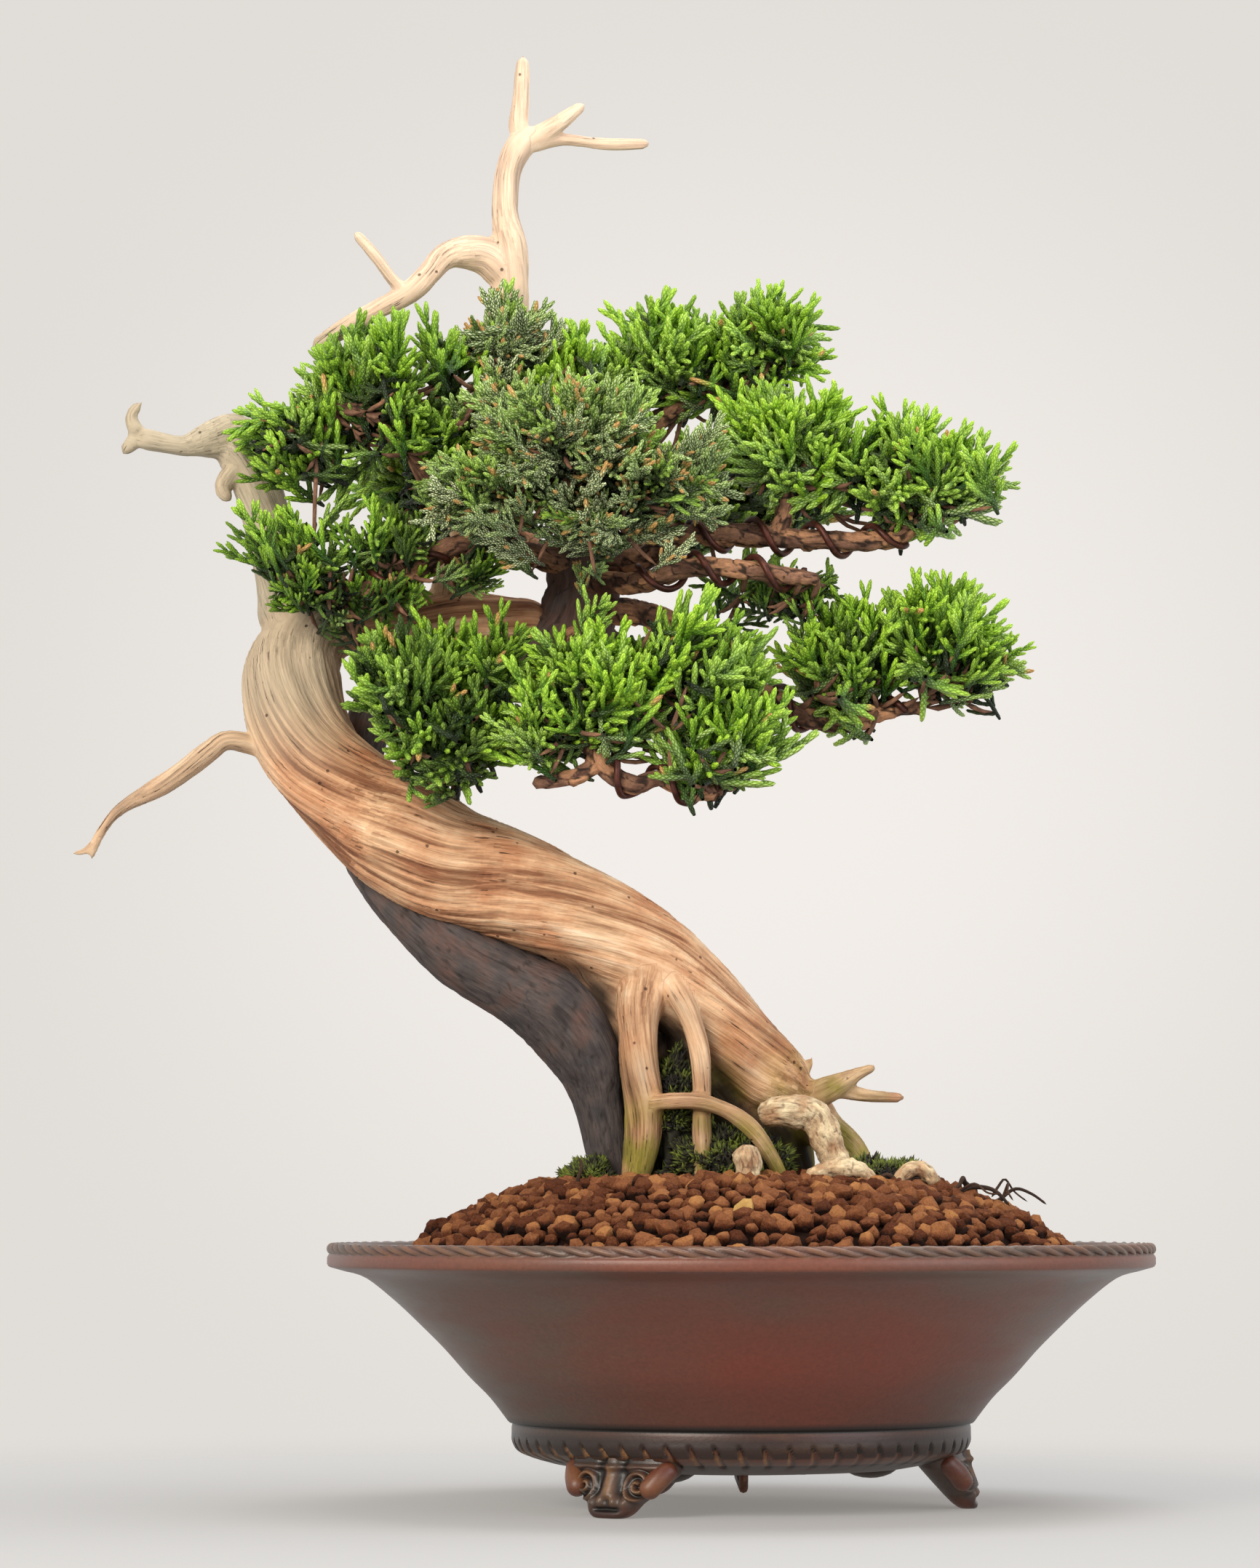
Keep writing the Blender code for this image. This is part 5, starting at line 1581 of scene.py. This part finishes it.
        # Thin limbs are knotty along their length as well.
        knots = noise.at(grain * [0.1, 0.1, 1 / 9] + shift + 33) * smoothstep(8, 4, radius)
        muscles = wide * 1.1 + knots * 0.6
        furrows = np.minimum(np.abs(middle) * 2.6, 1) - 0.62
        threads = np.minimum(np.abs(fine) * 2.4, 1) - 0.6
        return (scale * self.ridge_mm * muscles + scale ** 0.8 * self.furrow_mm * furrows
                + scale ** 0.4 * self.fine_mm * threads)


@dataclass
class LiveWood:
    """The living vein that feeds the crown, and the living roots at the trunk's foot."""

    step: float = 0.8

    def build(self, bark: Finish, root_bark: Finish) -> None:
        """Builds each living stem.

        Args:
            bark: The vein's bark.
            root_bark: The roots' paler bark.
        """
        vein, roots = bark.material(), root_bark.material()
        for number, (name, points) in enumerate(LIVE_STEMS.items()):
            route = Route(points, self.step)
            thick = name == "live_vein"
            relief = self.vein_relief(Noise(60 + number)) if thick else self.root_relief(Noise(60 + number))
            add_piece(f"{name}_bark", swept(route, 72 if thick else 40, relief), vein if thick else roots,
                      [name])

    def vein_relief(self, noise: Noise) -> Relief:
        """Smooth tight bark with long shallow folds and fine cracks."""
        def relief(grain: Array, places: Array) -> tuple[Array, dict[str, Array]]:
            """Gives the bark's height and named values, as swept asks."""
            folds = noise.at(grain * [0.16, 0.16, 1 / 30])
            cracks = np.abs(noise.at(grain * [0.5, 0.5, 1 / 9] + 7))
            crumbs = noise.layered(places / 1.6, 2)
            lift = 0.9 * folds + 0.22 * np.minimum(cracks * 3, 1) + 0.1 * crumbs
            # Near the crown the stem swells into knobs where branches have come and gone.
            crown = smoothstep(178, 192, places[:, 2]) * smoothstep(-62, -50, places[:, 0])
            lift = lift + crown * (1.1 * noise.at(places / 5.0) + 0.5 * np.abs(noise.at(places / 2.2)))
            high = smoothstep(88, 108, places[:, 2])
            plate = np.clip(0.2 + 0.35 * noise.at(places / 6 + 3) + 0.25 * high + 0.4 * crown, 0, 1)
            return lift, {"ridge": np.minimum(cracks * 3.2 + 0.1, 1), "plate": plate}
        return relief

    def root_relief(self, noise: Noise) -> Relief:
        """Knobbly roots whose bark has cracked into a pale crust."""
        def relief(grain: Array, places: Array) -> tuple[Array, dict[str, Array]]:
            """Gives the bark's height and named values, as swept asks."""
            inside, name = noise.plates(places / 2.3 + 0.3 * noise.at(places / 1.5)[:, None])
            crust = smoothstep(0.0, 0.2, inside)
            knots = noise.at(places / 4.2)
            lift = 0.7 * knots + 0.42 * crust * (0.4 + name) + 0.12 * noise.at(places / 0.8)
            plate = np.clip(0.3 + 0.45 * name + 0.4 * knots, 0, 1)
            return lift, {"ridge": 0.15 + 0.85 * crust, "plate": plate}
        return relief


@dataclass
class Rootlets:
    """Fine dark dead roots that surface among the grains, and a fallen twig that stands in them."""

    count: int = 22
    near: tuple[float, float, float] = (42.0, -14.0, 67.5)
    spread: tuple[float, float, float] = (15.0, 9.0, 2.2)
    reach_mm: tuple[float, float] = (7.0, 15.0)
    seed: int = 21

    def build(self, bark: Finish) -> None:
        """Builds all the rootlets as one piece.

        Args:
            bark: Their dry bark.
        """
        generator = np.random.default_rng(self.seed)
        shapes = [self.rootlet(generator) for _ in range(self.count)]
        twig = Route([(-35, -22, 66, 0.5), (-35.3, -22, 70, 0.45), (-34.4, -22.3, 73.5, 0.35),
                      (-35.2, -22, 75.5, 0.2)], 0.8)
        shapes.append(swept(twig, 7))
        for shape in shapes:
            shape.filled(ridge=0.6, plate=generator.uniform(0.1, 0.5))
        add_piece("surface_rootlets", merged(shapes), bark.material())

    def rootlet(self, generator: Chance) -> Shape:
        """One rootlet that wanders out of the soil and back.

        Args:
            generator: The source of chance.

        Returns:
            The rootlet.
        """
        start = np.array(self.near) + generator.uniform(-1, 1, 3) * self.spread
        start[2] -= 0.16 * max(0.0, start[0] - 34)
        way = unit(np.append(generator.normal(size=2), 0.0)) * generator.uniform(*self.reach_mm) / 4
        thick = generator.uniform(0.35, 0.75)
        arch = generator.uniform(1.0, 5.5)
        line = [(*(start + way * step + generator.normal(0, 0.6, 3)
                   + [0, 0, arch * math.sin(step * math.pi / 4)]), thick * (1 - 0.13 * step))
                for step in range(5)]
        return swept(Route(line, 0.8), 7)


@dataclass
class Branches:
    """The crown's branches in flaky bark, their twigs, and the wire that trains five of them."""

    wire_d: float = 1.5
    wire_pitch: float = 13.0
    wire_clear: float = 0.75
    flake_mm: float = 2.6
    step: float = 0.7

    def build(self, bark: Finish, wire: Finish) -> None:
        """Builds the branches and their wires.

        Args:
            bark: The flaky bark.
            wire: The wire's finish.
        """
        flaky, metal = bark.material(), wire.material()
        for number, (name, (points, phase)) in enumerate(BRANCHES.items()):
            relief = self.flakes(Noise(80 + number))
            lines = [points, *SIDE_SHOOTS.get(name, [])]
            shape = merged([swept(Route(line, self.step), 30, relief) for line in lines])
            add_piece(f"{name}_bark", shape, flaky, [name])
            if phase is not None:
                wound = name.replace("branch", "training_wire")
                coil = swept(Route(self.coil(points, phase), 0.7), 12)
                add_piece(f"{wound}_coil", coil, metal, [wound])

    def flakes(self, noise: Noise) -> Relief:
        """Thin lifted plates of bark, long along the branch."""
        def relief(grain: Array, places: Array) -> tuple[Array, dict[str, Array]]:
            """Gives the bark's height and named values, as swept asks."""
            warped = grain * [1 / self.flake_mm, 1 / self.flake_mm, 0.5 / self.flake_mm]
            warped = warped + 0.25 * noise.at(places / 2.0)[:, None]
            inside, name = noise.plates(warped)
            lift = 0.12 + 0.55 * name * smoothstep(0.02, 0.22, inside) + 0.22 * noise.at(places / 2.4)
            return lift, {"ridge": smoothstep(0.0, 0.3, inside), "plate": name}
        return relief

    def coil(self, points: Points, phase: float) -> Points:
        """A wire's helix round a branch, leaving its root and its tip bare.

        Args:
            points: The branch's line.
            phase: The degrees at which it starts round the branch.

        Returns:
            The wire's line.
        """
        places = np.array(points, float)
        lengths = np.concatenate([[0.0], np.cumsum(np.linalg.norm(np.diff(places[:, :3], axis=0), axis=1))])
        start, end = 0.24 * lengths[-1], 0.95 * lengths[-1]
        samples = int((end - start) / self.wire_pitch * 8)
        side = np.array([0.0, 1.0, 0.0])
        wound = []
        for sample in range(samples + 1):
            along = start + (end - start) * sample / samples
            index = min(int(np.searchsorted(lengths, along, side="right")) - 1, len(places) - 2)
            share = (along - lengths[index]) / (lengths[index + 1] - lengths[index])
            centre, radius = np.split(places[index] + (places[index + 1] - places[index]) * share, [3])
            ahead = unit(places[index + 1, :3] - places[index, :3])
            side = unit(side - ahead * (side @ ahead))
            turn = 2 * math.pi * (along - start) / self.wire_pitch + math.radians(phase)
            reach = radius[0] + self.wire_clear + self.wire_d / 2
            out = side * math.cos(turn) + np.cross(ahead, side) * math.sin(turn)
            wound.append((*(centre + out * reach), self.wire_d / 2))
        return wound


# ---------------------------------------------------------------- foliage

class Growth(Enum):
    """How the shoots in a pad grow."""

    FRESH = "fresh"
    MATURE = "mature"
    SHADED = "shaded"


@dataclass(frozen=True)
class Habit:
    """The sizes of one kind of spray, in millimetres, and how it fills a pad.

    Fresh runs from old, grey-green growth at 0 to new, bright growth at 1. Straw is the share of shoots
    with a dry tip, and gloom is how much darker than the rest a pad in the shade is.
    """

    axis: tuple[float, float]
    shoots: tuple[int, int]
    shoot: tuple[float, float]
    thick: float
    lean: tuple[float, float]
    fresh: tuple[float, float]
    per_cm2: float
    straw: float
    gloom: float = 0.0


HABITS = {
    Growth.FRESH: Habit((14, 20), (7, 10), (5.0, 9.5), 1.42, (28, 54), (0.6, 1.0), 1.45, 0.015),
    Growth.MATURE: Habit((11, 17), (10, 14), (3.5, 7.0), 1.2, (30, 56), (0.05, 0.6), 2.1, 0.12),
    Growth.SHADED: Habit((13, 19), (7, 10), (4.5, 9.0), 1.35, (28, 54), (0.65, 1.0), 1.45, 0.02, 0.3),
}


@dataclass
class SprayKit:
    """A few sprays of one habit, to set out many times."""

    habit: Habit
    variants: int = 10
    scale_mm: float = 1.1
    sides: int = 5
    seed: int = 1

    def sprays(self) -> list[Shape]:
        generator = np.random.default_rng(self.seed)
        return [self.spray(generator) for _ in range(self.variants)]

    def spray(self, generator: Chance) -> Shape:
        """Grows one spray: an axis with shoots to both sides, some of which fork.

        Args:
            generator: The source of chance.

        Returns:
            The spray.
        """
        length = generator.uniform(*self.habit.axis)
        curve = np.array([0.0, generator.uniform(-0.2, 0.2), generator.uniform(0.02, 0.25)])
        axis = np.array([1.0, 0.0, 0.0])
        shapes = [self.cord(np.zeros(3), axis, curve, length, self.habit.thick, 0.0, generator.random())]
        count = generator.integers(*self.habit.shoots)
        for number in range(count):
            share = 0.12 + 0.8 * (number + generator.uniform(0, 0.6)) / count
            start = axis * share * length + curve * share ** 2 * length
            hand = 1 if number % 2 else -1
            lean = math.radians(generator.uniform(*self.habit.lean))
            rise = generator.normal(0.15, 0.6)
            way = unit(np.array([math.cos(lean), hand * math.sin(lean), rise * math.sin(lean)]))
            reach = generator.uniform(*self.habit.shoot) * (1.1 - 0.4 * share)
            bend = axis * 0.2 + np.array([0, 0, generator.uniform(-0.05, 0.22)])
            shapes.append(self.cord(start, way, bend, reach, self.habit.thick * 0.95, 0.2 + 0.25 * share,
                                    generator.random()))
            if generator.random() < 0.85:
                fork = start + way * reach * 0.4 + bend * 0.16 * reach
                second = unit(way + axis * 0.4 + np.array([0, -hand * 0.5, generator.uniform(-0.7, 0.8)]))
                shapes.append(self.cord(fork, second, bend, reach * 0.62, self.habit.thick * 0.9, 0.35,
                                        generator.random()))
        return merged(shapes)

    def cord(self, start: Array, way: Array, bend: Array, length: float, thick: float, age: float,
             luck: float) -> Shape:
        """One shoot: a beaded cord with a blunt tip.

        Args:
            start: Its root.
            way: Its first direction.
            bend: How far it curves over its length, as a share of it.
            length: Its length.
            thick: Its thickness.
            age: How far along from old to new growth its root is.
            luck: Decides whether its tip is dry.

        Returns:
            The cord, open at its root.
        """
        count = max(4, round(length / self.scale_mm)) + 1
        share = np.linspace(0, 1, count)
        line = start + np.outer(share * length, way) + np.outer(share ** 2 * length, bend)
        helper = np.array([0.0, 0.0, 1.0]) if abs(way[2]) < 0.8 else np.array([0.0, 1.0, 0.0])
        side = unit(np.cross(way, helper))
        up = np.cross(way, side)
        bead = 1 + 0.09 * np.where(np.arange(count) % 2, 1, -1)
        radius = thick / 2 * bead * np.interp(share, [0, 0.12, 0.75, 1], [0.6, 0.92, 1.0, 0.7])
        turn = circle(self.sides)
        ways = np.cos(turn)[:, None] * side + np.sin(turn)[:, None] * up
        closed = tube(line[:, None] + radius[:, None, None] * ways[None])
        quads, caps = closed.faces
        tip_point = line[-1] + unit(way + 2 * bend) * thick * 0.42
        points = np.vstack([closed.points[:-2], tip_point])
        caps = caps[self.sides:].copy()
        caps[:, 0] = len(points) - 1
        flat = np.tile(np.column_stack([np.cos(turn), np.sin(turn)]), (count, 1))
        ring = np.column_stack([flat, np.repeat(share * length, self.sides)])
        newness = np.append(np.repeat(age + (1 - age) * share, self.sides), 1.0)
        return Shape(points, [quads, caps], {"ring": np.vstack([ring, [1.0, 0.0, length + 0.5]]),
                                             "tip": newness, "straw": np.full(len(points), luck)})


@dataclass(frozen=True)
class Pad:
    """One cloud of foliage: its branch, how it grows, and its lobes' centres and half sizes."""

    branch: str
    growth: Growth
    lobes: tuple[tuple[float, ...], ...]


@dataclass
class Crown:
    """All the foliage, spray by spray, and the twigs that carry it."""

    pads: dict[str, Pad] = field(default_factory=lambda: {
        "foliage_top": Pad("branch_top", Growth.MATURE, (
            (-51, 1, 254, 13, 16, 13), (-50, -6, 237, 14, 16, 11))),
        "foliage_top_right": Pad("branch_top", Growth.FRESH, (
            (-17, 9, 256, 17, 18, 13), (7, 10, 259, 16.5, 18, 11), (-32, 4, 249, 12, 14, 12))),
        "foliage_top_left": Pad("branch_top", Growth.SHADED, (
            (-97, -6, 232, 15, 16, 12), (-78, -5, 246, 17.5, 18, 15), (-67, -8, 231, 14, 16, 12))),
        "foliage_front": Pad("branch_front", Growth.MATURE, (
            (-38, -27, 229, 23, 17, 16.5), (-57, -27, 217, 16, 14, 10), (-17, -25, 221, 18, 15, 13),
            (-32, -27, 211, 13, 12, 8.5))),
        "foliage_right": Pad("branch_right", Growth.FRESH, (
            (9, -6, 235, 17.5, 18, 14), (31, -6, 228, 18.5, 20, 14), (48, -6, 226, 13.5, 16, 11.5))),
        "foliage_left": Pad("branch_left", Growth.SHADED, (
            (-99, -13, 206, 14, 15, 10), (-87, -13, 197, 20, 14, 7.5), (-77, -12, 210, 11, 13, 8.5),
            (-54, -14, 202, 7.5, 8, 6))),
        "foliage_low_left": Pad("branch_low_left", Growth.SHADED, (
            (-72.5, -23, 180, 15.5, 16, 12.5), (-61, -24, 165, 16.5, 15, 12), (-55, -21, 183, 11, 12, 10))),
        "foliage_low_middle": Pad("branch_low_front", Growth.FRESH, (
            (-34, -29, 177, 17.5, 16, 15), (-45, -28, 168, 11, 13, 10))),
        "foliage_low_right": Pad("branch_low_front", Growth.FRESH, (
            (-5, -24, 183, 15, 16, 12.5), (-3, -25, 167, 15.5, 15, 12.5), (-18, -24, 179, 10, 13, 12))),
        "foliage_far_right": Pad("branch_low_right", Growth.FRESH, (
            (22, -7, 187, 14, 16, 13), (42, -7, 191, 16, 18, 12.5), (54, -7, 185, 10, 13, 9))),
        "foliage_under_right": Pad("branch_right_low", Growth.SHADED, (
            (9, 0, 200, 17, 12, 6),)),
        "foliage_back_left": Pad("branch_back_left", Growth.SHADED, (
            (-66, 42, 229, 24, 19, 14),)),
        "foliage_back_right": Pad("branch_back_right", Growth.FRESH, (
            (4, 44, 229, 27, 19, 14),)),
        "foliage_back_low": Pad("branch_back_low", Growth.SHADED, (
            (-12, 42, 183, 24, 18, 12),)),
    })
    inner_share: float = 0.3

    def build(self, leaves: Finish, bark: Finish) -> None:
        """Builds each pad, then all the twigs as one piece.

        Args:
            leaves: The foliage's finish.
            bark: The twigs' bark.
        """
        material = leaves.material()
        kits = {growth: SprayKit(habit, seed=number).sprays()
                for number, (growth, habit) in enumerate(HABITS.items())}
        twigs = []
        for number, (name, pad) in enumerate(self.pads.items()):
            shape, stems = self.grow(pad, kits[pad.growth], 300 + number)
            add_piece(f"{name}_sprays", shape, material, [name])
            twigs += stems
        add_piece("foliage_twigs", merged(twigs), bark.material())

    def wood_near(self, pad: Pad, centre: Array) -> Array:
        """The outer part of a pad's branch and side shoots, nearest first.

        Args:
            pad: The pad.
            centre: Its middle.

        Returns:
            The nearer half of the places along them.
        """
        points, _ = BRANCHES[pad.branch]
        routes = [Route(line, 2.0).places for line in (points, *SIDE_SHOOTS.get(pad.branch, []))]
        wood = np.vstack([route[len(route) // 4:] for route in routes])
        nearest = np.square(wood - centre).sum(axis=1).argsort()
        return wood[nearest[:max(10, len(wood) // 2)]]

    def grow(self, pad: Pad, kit: list[Shape], seed: int) -> tuple[Shape, list[Shape]]:
        """Sets out one pad's sprays and the twigs under them.

        Args:
            pad: The pad.
            kit: Sprays to set out.
            seed: Picks the pad's outline and how its sprays fall.

        Returns:
            The pad's foliage, and its twigs.
        """
        generator = np.random.default_rng(seed)
        noise = Noise(seed)
        habit = HABITS[pad.growth]
        lobes = np.array(pad.lobes, float)
        centres, sizes = lobes[:, :3], lobes[:, 3:]
        ways, owner, outer = self.placed(sizes, habit.per_cm2, generator)
        count = len(ways)
        depth = np.where(outer, generator.uniform(-0.12, 0.26, count), generator.uniform(0.32, 0.6, count))
        lumps = 1 + 0.22 * noise.at(ways * 2.3 + owner[:, None])
        tips = centres[owner] + ways * sizes[owner] * ((1 - depth) * lumps)[:, None]
        inside = np.linalg.norm((tips[:, None] - centres[None]) / sizes[None], axis=2)
        inside[np.arange(count), owner] = 9.0
        kept = inside.min(axis=1) > 0.72
        ways, owner, depth, tips, outer = (every[kept] for every in (ways, owner, depth, tips, outer))
        count = len(ways)
        wood = self.wood_near(pad, centres.mean(axis=0))
        roots = wood[np.square(tips[:, None] - wood[None]).sum(axis=2).argmin(axis=1)]
        slope = unit(ways / sizes[owner])
        # Sprays turn up to the light, so that the underside of a pad stays flat.
        climb = unit(slope + unit(tips - roots))
        climb[:, 2] = np.maximum(climb[:, 2], -0.2)
        growth = unit(1.8 * climb + [0, 0, 0.3] + 0.38 * generator.normal(size=slope.shape))
        scale = generator.uniform(0.82, 1.15, count) * np.clip(sizes[owner].min(axis=1) / 12, 0.62, 1.0)
        bases = tips - growth * (scale * habit.axis[1])[:, None]
        flats = unit(np.array([0, 0, 1.0]) + 0.5 * slope + 0.5 * generator.normal(size=slope.shape))
        fresh = generator.uniform(*habit.fresh, count) + 0.2 * ways[:, 2] + 0.2 * noise.at(tips / 9)
        # Sprays deeper in a pad, and pads in the shade, get painted shade.
        values = {"fresh": np.clip(fresh, 0, 1), "depth": np.clip(depth * 2.0 + habit.gloom, 0, 0.92),
                  "chance": generator.random(count)}
        which = generator.integers(0, len(kit), count)
        shape = scattered(kit, which, bases, axes_along(growth, flats), scale, values)
        dry = (shape.values["straw"] + shape.values.pop("chance")) % 1
        shape.values["straw"] = (dry < habit.straw).astype(float)
        return shape, self.twigs(bases, growth, roots, generator)

    def placed(self, sizes: Array, per_cm2: float, generator: Chance) -> tuple[Array, Array, Array]:
        """Spreads sprays evenly over the lobes, and some within them, fewer below than above.

        Args:
            sizes: The lobes' half sizes.
            per_cm2: Sprays for each square centimetre of a lobe's skin.
            generator: The source of chance.

        Returns:
            For each spray its direction from its lobe's middle, its lobe, and whether it is on the skin.
        """
        ways, owner, outer = [], [], []
        for lobe, (a, b, c) in enumerate(sizes ** 1.6):
            area = 4 * math.pi * ((a * b + a * c + b * c) / 3) ** (1 / 1.6) / 100
            on_skin = int(area * per_cm2)
            count = on_skin + int(on_skin * self.inner_share)
            height = 1 - 2 * ((np.arange(count) + generator.random(count)) / count) ** 1.2
            turn = generator.permutation(count) * math.pi * (3 - math.sqrt(5))
            flat = np.sqrt(1 - height ** 2)
            ways.append(np.column_stack([flat * np.cos(turn), flat * np.sin(turn), height]))
            owner.append(np.full(count, lobe))
            outer.append(generator.permutation(count) < on_skin)
        return np.vstack(ways), np.concatenate(owner), np.concatenate(outer)

    def twigs(self, bases: Array, growth: Array, roots: Array, generator: Chance) -> list[Shape]:
        """Twigs that gather from sprays to a few forks and on to the branch.

        Args:
            bases: Each spray's root.
            growth: Each spray's direction.
            roots: The branch's nearest point for each spray.
            generator: The source of chance.

        Returns:
            The twigs.
        """
        forks = bases[generator.choice(len(bases), max(6, len(bases) // 8), replace=False)]
        nearest = np.square(bases[:, None] - forks[None]).sum(axis=2).argmin(axis=1)
        shapes = []
        for index in range(len(forks)):
            own = np.flatnonzero(nearest == index)
            if not len(own):
                continue
            root = roots[own[0]]
            fork = bases[own].mean(axis=0) * 0.6 + root * 0.4
            shapes.append(self.twig(root, fork, fork - root, 0.95, 0.6))
            shapes += [self.twig(fork, bases[spray] + growth[spray] * 2.0, growth[spray] * 6, 0.6, 0.42)
                       for spray in own]
        return shapes

    def twig(self, start: Array, end: Array, way: Array, thick: float, thin: float) -> Shape:
        """One thin curved twig.

        Args:
            start: Where it leaves the wood.
            end: Where its spray starts.
            way: The direction in which it arrives.
            thick: Its radius at the start.
            thin: Its radius at the end.

        Returns:
            The twig.
        """
        middle = (start + end) / 2 + np.array([0, 0, -0.6]) - way * 0.06
        line = Route([(*start, thick), (*middle, (thick + thin) / 2), (*end, thin)], 2.6)
        return swept(line, 6).filled(ridge=0.7, plate=0.35)


# ---------------------------------------------------------------- studio

@dataclass
class Studio:
    """A pale floor that fades into a pale surround, soft light and the camera."""

    surround: str = "F3EEE9"
    surround_far: str = "E1DDD8"
    floor_white: str = "8E8F90"
    floor_glow: str = "84807B"
    floor_r: float = 0.42
    ambient: float = 0.85
    camera_at: tuple[float, float, float] = (0.0042, -1.1095, 0.0658)
    camera_tilt: float = 4.712
    lens: float = 116.49

    def build(self) -> None:
        """Builds the floor, the surround, the lights and the camera."""
        self.add_floor()
        self.add_surround()
        self.add_light("key", (-0.6, -1.05, 0.62), 0.6, 15.0, "FFF5E8")
        self.add_light("fill", (0.95, -0.7, 0.45), 0.9, 5.0, "F6F7FF")
        self.add_light("top", (0.25, 0.1, 1.15), 0.8, 9.0, "FFFFFF")
        self.add_camera()

    def add_floor(self) -> None:
        """Lays a round floor whose edge fades away, so that it has no horizon."""
        turn = circle(96)
        ring = np.column_stack([np.cos(turn), np.sin(turn), np.zeros(96)]) * self.floor_r
        mesh = bpy.data.meshes.new("floor")
        mesh.from_pydata(ring.tolist(), [], [list(range(96))])
        material = bpy.data.materials.new("acrylic_sheet_matt_backlit")
        node = node_maker(material)
        place = node("TexCoord").outputs["Object"]
        far = node("VectorMath", {0: place}, operation="LENGTH")
        fade = node("MapRange", {0: far, 1: 0.1, 2: self.floor_r * 0.95}, interpolation_type="SMOOTHERSTEP")
        paper = node("BsdfDiffuse", {"Color": self.floor_white})
        glow = node("Emission", {"Color": self.floor_glow})
        lit = node("AddShader", {0: paper, 1: glow})
        gone = node("BsdfTransparent")
        mixed = node("MixShader", {0: fade, 1: lit, 2: gone})
        node("OutputMaterial", {"Surface": mixed})
        mesh.materials.append(material)
        add_object("floor", mesh)

    def add_surround(self) -> None:
        """Fills the surround with pale light, seen at its own brightness and lighting more softly."""
        world = bpy.data.worlds.new("surround")
        bpy.context.scene.world = world
        node = node_maker(world)
        seen = node("LightPath").outputs["Is Camera Ray"]
        # The surround is palest straight behind the tree and dims slowly towards the sides and the floor.
        way = node("TexCoord").outputs["Generated"]
        off = node("VectorMath", {0: way, 1: (0.02, 0.99, 0.09)}, operation="DISTANCE")
        dim = node("MapRange", {0: off, 1: 0.02, 2: 0.17}, interpolation_type="SMOOTHSTEP")
        tone = node("Mix", {0: dim, 6: self.surround, 7: self.surround_far}, **COLOUR)
        pale = node("Background", {"Color": tone, "Strength": 1.0})
        soft = node("Background", {"Color": "FFFFFF", "Strength": self.ambient})
        mixed = node("MixShader", {0: seen, 1: soft, 2: pale})
        node("OutputWorld", {"Surface": mixed})

    def add_light(self, name: str, place: tuple[float, float, float], size: float, watts: float,
                  colour: str) -> None:
        """Hangs a square soft light that faces the tree.

        Args:
            name: The light's name.
            place: Where it hangs, in metres.
            size: Its side, in metres.
            watts: Its power.
            colour: Its colour.
        """
        light = bpy.data.lights.new(name, "AREA")
        light.shape = "SQUARE"
        light.size = size
        light.energy = watts
        light.color = linear(colour)[:3]
        made = add_object(name, light)
        made.location = place
        aim = np.array([0.0, 0.0, 0.15]) - np.array(place)
        made.rotation_euler = (math.atan2(math.hypot(aim[0], aim[1]), -aim[2]), 0.0,
                               math.atan2(-aim[0], aim[1]))

    def add_camera(self) -> None:
        """Sets the camera low in front, tilted slightly up."""
        camera = bpy.data.cameras.new("camera")
        camera.lens = self.lens
        camera.sensor_width = 36.0
        made = add_object("camera", camera)
        made.location = self.camera_at
        made.rotation_euler = (math.radians(90 + self.camera_tilt), 0.0, 0.0)
        bpy.context.scene.camera = made
        bpy.context.scene.view_settings.view_transform = "Standard"


def dress_kept_nodes() -> None:
    """Gives the small hardware that keeps its modelled shape its own finishes."""
    kept = {"drainage_mesh": MouldedMesh(),
            "mesh_clip": DrawnWire("aluminium_wire_drawn_bright", "8E8F90", "B9B9B8", 0.35, 1.0),
            "tie_down_wire": DrawnWire("aluminium_wire_drawn_brown", "5A3B2C", "7A5A48", 0.4, 0.8)}
    for name, finish in kept.items():
        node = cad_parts[name]
        material = finish.material()
        for slot in node.material_slots:
            slot.material = material
        LOG.info("%s: kept, in %s", name, material.name)


def main() -> None:
    """Builds the studio, then the pot, the soil and the tree."""
    logging.basicConfig(level=logging.INFO, format="%(message)s")
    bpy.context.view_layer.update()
    Studio().build()
    Pot().build(FiredStoneware())
    Soil().build(BakedClay())
    Moss().build(SoftMoss())
    DeadTrunk().build(WeatheredDeadwood())
    LiveWood().build(Bark("live_bark_grown", "26201D", "4E4542", "3E3A3A", "5C463E", 0.12, 0.8),
                     Bark("root_bark_grown", "4A2F20", "B0916F", "8A5F42", "D0BC98", 0.5, 0.6))
    Rootlets().build(Bark("rootlets_dried", "120A06", "3D2A1E", "24170F", "5A3F2C", 0.3, 0.5))
    flaky = Bark("branch_bark_flaking", "1A100B", "7A5845", "4A3025", "A87A58", 0.3, 0.5)
    Branches().build(flaky, DrawnWire())
    Crown().build(ScaleLeaves(), flaky)
    dress_kept_nodes()


if __name__ == "__main__":
    main()
